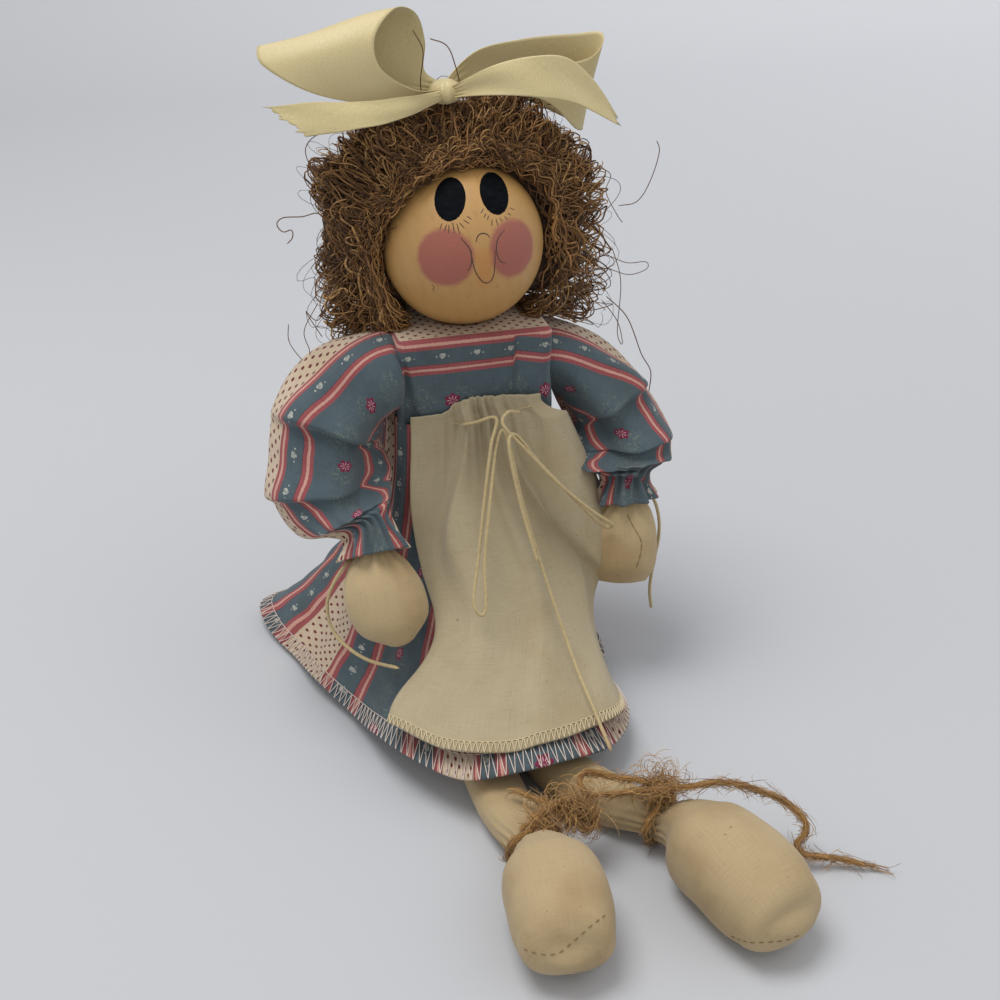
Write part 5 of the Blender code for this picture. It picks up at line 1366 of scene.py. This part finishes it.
# %% Stray stems
# Single springy ends that stand out of the mass: depth behind the ball's middle and radius in mm,
# then picture points.
STRAYS = [(-6, 0.2, [(330, 222), (318, 214), (303, 218), (284, 219), (277, 225), (283, 232),
                     (291, 229), (292, 236), (286, 243)]),
          (2, 0.2, [(424, 110), (421, 80), (422, 50), (412, 29)]),
          (2, 0.2, [(462, 88), (455, 66), (446, 45), (430, 39)]),
          (4, 0.17, [(618, 206), (636, 200), (650, 178), (660, 152), (658, 141)]),
          (0, 0.15, [(588, 262), (604, 254), (626, 262), (646, 262), (648, 270), (630, 276), (606, 268)]),
          (-4, 0.15, [(318, 300), (304, 330), (310, 352), (308, 366), (290, 344), (288, 322)]),
          (0, 0.16, [(346, 128), (318, 136), (306, 150), (312, 168), (328, 178)]),
          (0, 0.15, [(600, 168), (612, 176), (606, 192), (616, 214), (622, 222)]),
          (0, 0.16, [(602, 300), (618, 322), (622, 344), (616, 330), (620, 280), (612, 246)]),
          (-8, 0.2, [(606, 296), (626, 316), (640, 352), (651, 372), (650, 396)]),
          (-10, 0.15, [(392, 318), (402, 340), (424, 362), (438, 360)]),
          (-12, 0.15, [(376, 318), (384, 352), (372, 372)]),
          (-2, 0.16, [(330, 300), (318, 322), (306, 312), (322, 336)]),
          (2, 0.2, [(470, 96), (480, 82), (506, 84), (522, 88)]),
          (2, 0.25, [(536, 96), (560, 96), (568, 92), (562, 104), (546, 104)])]
for k, (depth, radius, points) in enumerate(STRAYS):
    way = sight(through(points, 44))
    spot = CAMERA_AT + way * ((depth * MM - CAMERA_AT[1]) / way[:, 1])[:, None]
    spot[:, 1] += 1.5 * MM * np.sin(np.linspace(0, 5, 44) + k)
    tubes("stray_%d" % k, evenly(spot, 40)[None], np.full((1, 40), radius * MM), 5, vine, np.array([0.25]))

# %% [markdown]
# ## Seams and running stitches
# The toes are closed with a row of short stitches, the apron's casing shows a few ends of its
# running stitch, and one hand has a puckered dart. Each is a row of thread tubes laid on the
# cloth where the line of picture points meets it.
# %% Seams
seam_thread, g = finish("seam thread", 0.7)
g.colour(linear(128, 98, 66))


def seam(name, piece, picture, material, radius, dash, gap):
    """Thread dashes on a piece: the picture line is dropped on the surface and cut into lengths
    of dash, with gap between them (mm)."""
    mesh = piece.data
    tree = BVHTree.FromPolygons([v.co for v in mesh.vertices], [p.vertices for p in mesh.polygons])
    hits = [tree.ray_cast(Vector(CAMERA_AT), Vector(way)) for way in sight(through(picture, 60))]
    line = np.array([hit[0] + 0.12 * MM * hit[1] for hit in hits if hit[0] is not None])
    run = run_length(line)
    count = max(int(run[-1] / MM / (dash + gap)), 1)
    share = np.linspace(0, 1, 7)[None, :]
    at = (np.arange(count)[:, None] * (dash + gap) + share * dash) * MM
    paths = np.stack([np.interp(at, run, line[:, k]) for k in range(3)], -1)
    tubes(name, paths, np.full(paths.shape[:2], radius * MM), 5, material)
    return count


RIGHT_TOE = [(524, 949), (540, 954), (558, 953), (575, 940), (592, 925), (608, 913)]
LEFT_TOE = [(731, 936), (748, 942), (768, 942), (786, 940), (802, 934)]
HAND_DART = [(627, 514), (633, 526), (641, 541), (640, 556), (636, 568)]
seams = [seam("right_toe_seam", right_leg, RIGHT_TOE, seam_thread, 0.16, 1.6, 1.1),
         seam("left_toe_seam", left_leg, LEFT_TOE, seam_thread, 0.16, 1.6, 1.1),
         seam("left_hand_dart", left_arm, HAND_DART, seam_thread, 0.14, 3.0, 0.1),
         seam("casing_stitches", apron, [(452, 424), (458, 423), (464, 422)], cotton, 0.3, 3.4, 1.0),
         seam("casing_stitches_left", apron, [(517, 410), (527, 407), (537, 404)], cotton, 0.3, 6.0, 1.0)]
print("seam stitches:", seams)

# %% [markdown]
# ## Ribbon bow
# The bow is one wide satin ribbon, shiny on one side and dull on the other, tied in two loops
# with two cut ends. Each strip is a ruled surface: its two long edges are smooth curves, the
# columns are straight lines between them, and a little crumple is added across.
# %% Satin
def satin(name, light, dark, roughness, ribs):
    """Ribbon satin: fine lines along the ribbon vary its colour, its shine and its relief."""
    material, g = finish(name, roughness, Sheen_Weight=0.3, Sheen_Roughness=0.3, Anisotropic=0.4)
    place = g.node("UVMap", uv_map="cloth").outputs[0]
    line = g.noise(g.scaled(place, 0.6, 9.0), 1.0, 2)
    g.colour(g.mix(g.spread(line, 0.3, 0.7), light, dark))
    g.put(g.shader.inputs["Roughness"], g.spread(line, 0.3, 0.7, roughness - 0.05, roughness + 0.08))
    g.bump(line, ribs, 0.0002)
    return material


satin_front = satin("ivory satin", linear(214, 198, 150), linear(196, 176, 126), 0.36, 0.35)
satin_back = satin("ivory satin back", linear(206, 190, 142), linear(184, 166, 116), 0.6, 0.6)

# %% Bow
# Each strip's two long edges, point by point from the knot (mm).
RIGHT_LOOP = ([(1, 1.5, 1.5), (-5, 8, 5), (-4, 11, 14), (-7, 8, 23), (-16, -1, 27), (-24, -9, 21),
               (-23, -11, 11), (-11, -7, 2.5), (1, -1.5, 1.5)],
              [(1, 1.5, -1.5), (-24, 7, 0), (-48, 5, 9), (-58, 3, 14.5), (-60, 0, 17.5), (-59, -5, 12.5),
               (-44, -9, 4), (-22, -8, -1), (1, -1.5, -1.5)])
LEFT_LOOP = ([(-1, 1.5, 1.5), (12, 7, 11), (28, 7, 14), (46, 5, 15), (54, 1.5, 15.5), (49, -3, 9),
              (34, -5, 7), (14, -5, 5), (-1, -1.5, 1.5)],
             [(-1, 1.5, -1.5), (14, 8, -2), (30, 9, -7), (43, 7, -13), (49, 2, -16), (44, -5, -14),
              (31, -9, -3), (14, -7, 0), (-1, -1.5, -1.5)])
RIGHT_TAIL = ([(0, -2, 1), (-16, -12, 2), (-36, -15, 2.5), (-60, -18, 3.5)],
              [(0, -2, -1.5), (-16, -15, -3.5), (-34, -21, -5), (-50, -24, -5)])
LEFT_TAIL = ([(0, -2, 1), (12, -13, 10), (26, -15, 13), (40, -17, 10.5), (55, -18, -8)],
             [(0, -2, -1.5), (13, -17, 2), (27, -20, 1), (40, -21, -2), (53, -20, -9.5)])


def ribbon(name, edges, rows, seed, crumple, cut=False):
    """A strip between two edge curves, bowed a little across, gathered at the knot and crumpled
    along. A cut strip has a ragged far end."""
    one, two = [through(np.array(edge) * MM, rows) for edge in edges]
    columns = 26
    share = np.linspace(0, 1, columns)[None, :]
    step = np.linspace(0, 1, rows)[:, None]
    grid = KNOT + one[:, None] + (two - one)[:, None] * share[..., None]
    if cut:
        ragged = 1.2 * MM * waves(share * 40, 0 * step, 6, 0.6, 2.2, seed) * smooth_step(0.9, 1.0, step)
        grid = grid + unit(np.gradient(grid, axis=0)) * ragged[..., None]
    free = smooth_step(0.0, 0.12, step) * (1.0 if cut else 1 - smooth_step(0.88, 1.0, step))
    gather = 0.5 * MM * np.cos(math.tau * 4 * share) * (1 - free)
    soft = crumple * MM * waves(share * 5, step * 16, 8, 0.5, 1.5, seed) * free
    grid = grid + grid_normals(grid) * (soft + gather)[..., None]
    wide = np.linalg.norm(two - one, axis=1).max() / MM
    cloth = plain_cloth(rows, columns, wide, run_length((one + two) / 2)[-1] / MM)
    return surface(name, grid, cloth, [satin_front, satin_back], wall=0.3 * MM)


right_loop = ribbon("bow_right_loop", RIGHT_LOOP, 110, 61, 0.6)
left_loop = ribbon("bow_left_loop", LEFT_LOOP, 110, 62, 1.0)
right_tail = ribbon("bow_right_tail", RIGHT_TAIL, 60, 63, 0.6, True)
left_tail = ribbon("bow_left_tail", LEFT_TAIL, 60, 64, 0.5, True)
turn = full_turn(72)
rise = np.linspace(-math.pi / 2, math.pi / 2, 34)[:, None]
swell = 1 + 0.05 * np.cos(7 * turn + 2 * rise) + 0.03 * np.cos(13 * turn)
knot = np.stack([5.6 * np.cos(rise) * np.cos(turn) * swell, 5.2 * np.cos(rise) * np.sin(turn) * swell,
                 4.1 * np.sin(rise) + 0 * turn], -1) * MM + KNOT
bow_knot = surface("bow_knot", knot, plain_cloth(34, 73, 30, 10), satin_front, closed=True, inside=KNOT,
                   poles=True)
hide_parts("hair_bow")

# %% [markdown]
# ## Floor, backdrop and light
# The doll stands on a plain pale sheet that curves up behind it, under soft studio light: one
# large lamp above and a little to the left, a weak one at the right, and an even world that fills
# the shadows. The sheet's colour holds painted light: darker at the near left, brighter to the far right.
# %% Stage
FLOOR_BACK, CURVE_DEEP, CURVE_HIGH, SHEET_TOP = 0.9, 0.6, 0.6, 3.0
paper, g = finish("studio paper", 0.95, Specular_IOR_Level=0.1)
space = g.node("SeparateXYZ", {0: g.space()}).outputs
# Painted light and shade on the sheet: its colour runs from darker at the near left to brighter at the far
# right.
far = g.math("MULTIPLY_ADD", space[0], 0.6, g.times(space[1], 0.45))
g.colour(g.mix(g.spread(far, 0.1, 1.2), linear(192, 193, 196), linear(236, 237, 240)))
bend = np.linspace(0, math.pi / 2, 60)
run = np.concatenate([np.linspace(-2.0, FLOOR_BACK, 30), FLOOR_BACK + CURVE_DEEP * np.sin(bend),
                      [FLOOR_BACK + CURVE_DEEP]])
height = np.concatenate([np.zeros(30), CURVE_HIGH * (1 - np.cos(bend)), [SHEET_TOP]])
across = np.linspace(-3.0, 3.0, 24)
sheet_grid = np.stack(np.broadcast_arrays(across[None, :], run[:, None], height[:, None]), -1)
rows, columns = sheet_grid.shape[:2]
r, c = np.meshgrid(np.arange(rows - 1), np.arange(columns - 1), indexing="ij")
first = (r * columns + c).ravel()
floor_mesh = bpy.data.meshes.new("studio_sweep")
floor_mesh.from_pydata(sheet_grid.reshape(-1, 3).tolist(), [],
                       np.stack([first, first + 1, first + 1 + columns, first + columns], 1).tolist())
floor_mesh.shade_smooth()
floor_mesh.materials.append(paper)
sweep = bpy.data.objects.new("studio_sweep", floor_mesh)
bpy.context.scene.collection.objects.link(sweep)

# %% Light
def lamp(name, place, size, power):
    """A round area lamp aimed at the doll's middle."""
    light = bpy.data.lights.new(name, "AREA")
    light.shape = "DISK"
    light.size = size
    light.energy = power
    thing = bpy.data.objects.new(name, light)
    thing.location = place
    thing.rotation_euler = (Vector((0, 0, 0.1)) - Vector(place)).to_track_quat("-Z", "Y").to_euler()
    bpy.context.scene.collection.objects.link(thing)


lamp("key", (-0.35, 0.1, 1.4), 0.8, 11)
lamp("fill", (0.9, -0.5, 1.1), 1.0, 1.2)
world = bpy.data.worlds.new("studio")
world.use_nodes = True
world.node_tree.nodes["Background"].inputs["Color"].default_value = (0.97, 0.985, 1.0, 1)
world.node_tree.nodes["Background"].inputs["Strength"].default_value = 0.7
bpy.context.scene.world = world
bpy.context.scene.view_settings.view_transform = "Standard"

# %% Sizes
total = sum(len(piece.data.polygons) for piece in made.values())
print("pieces:", len(made), "faces:", total)
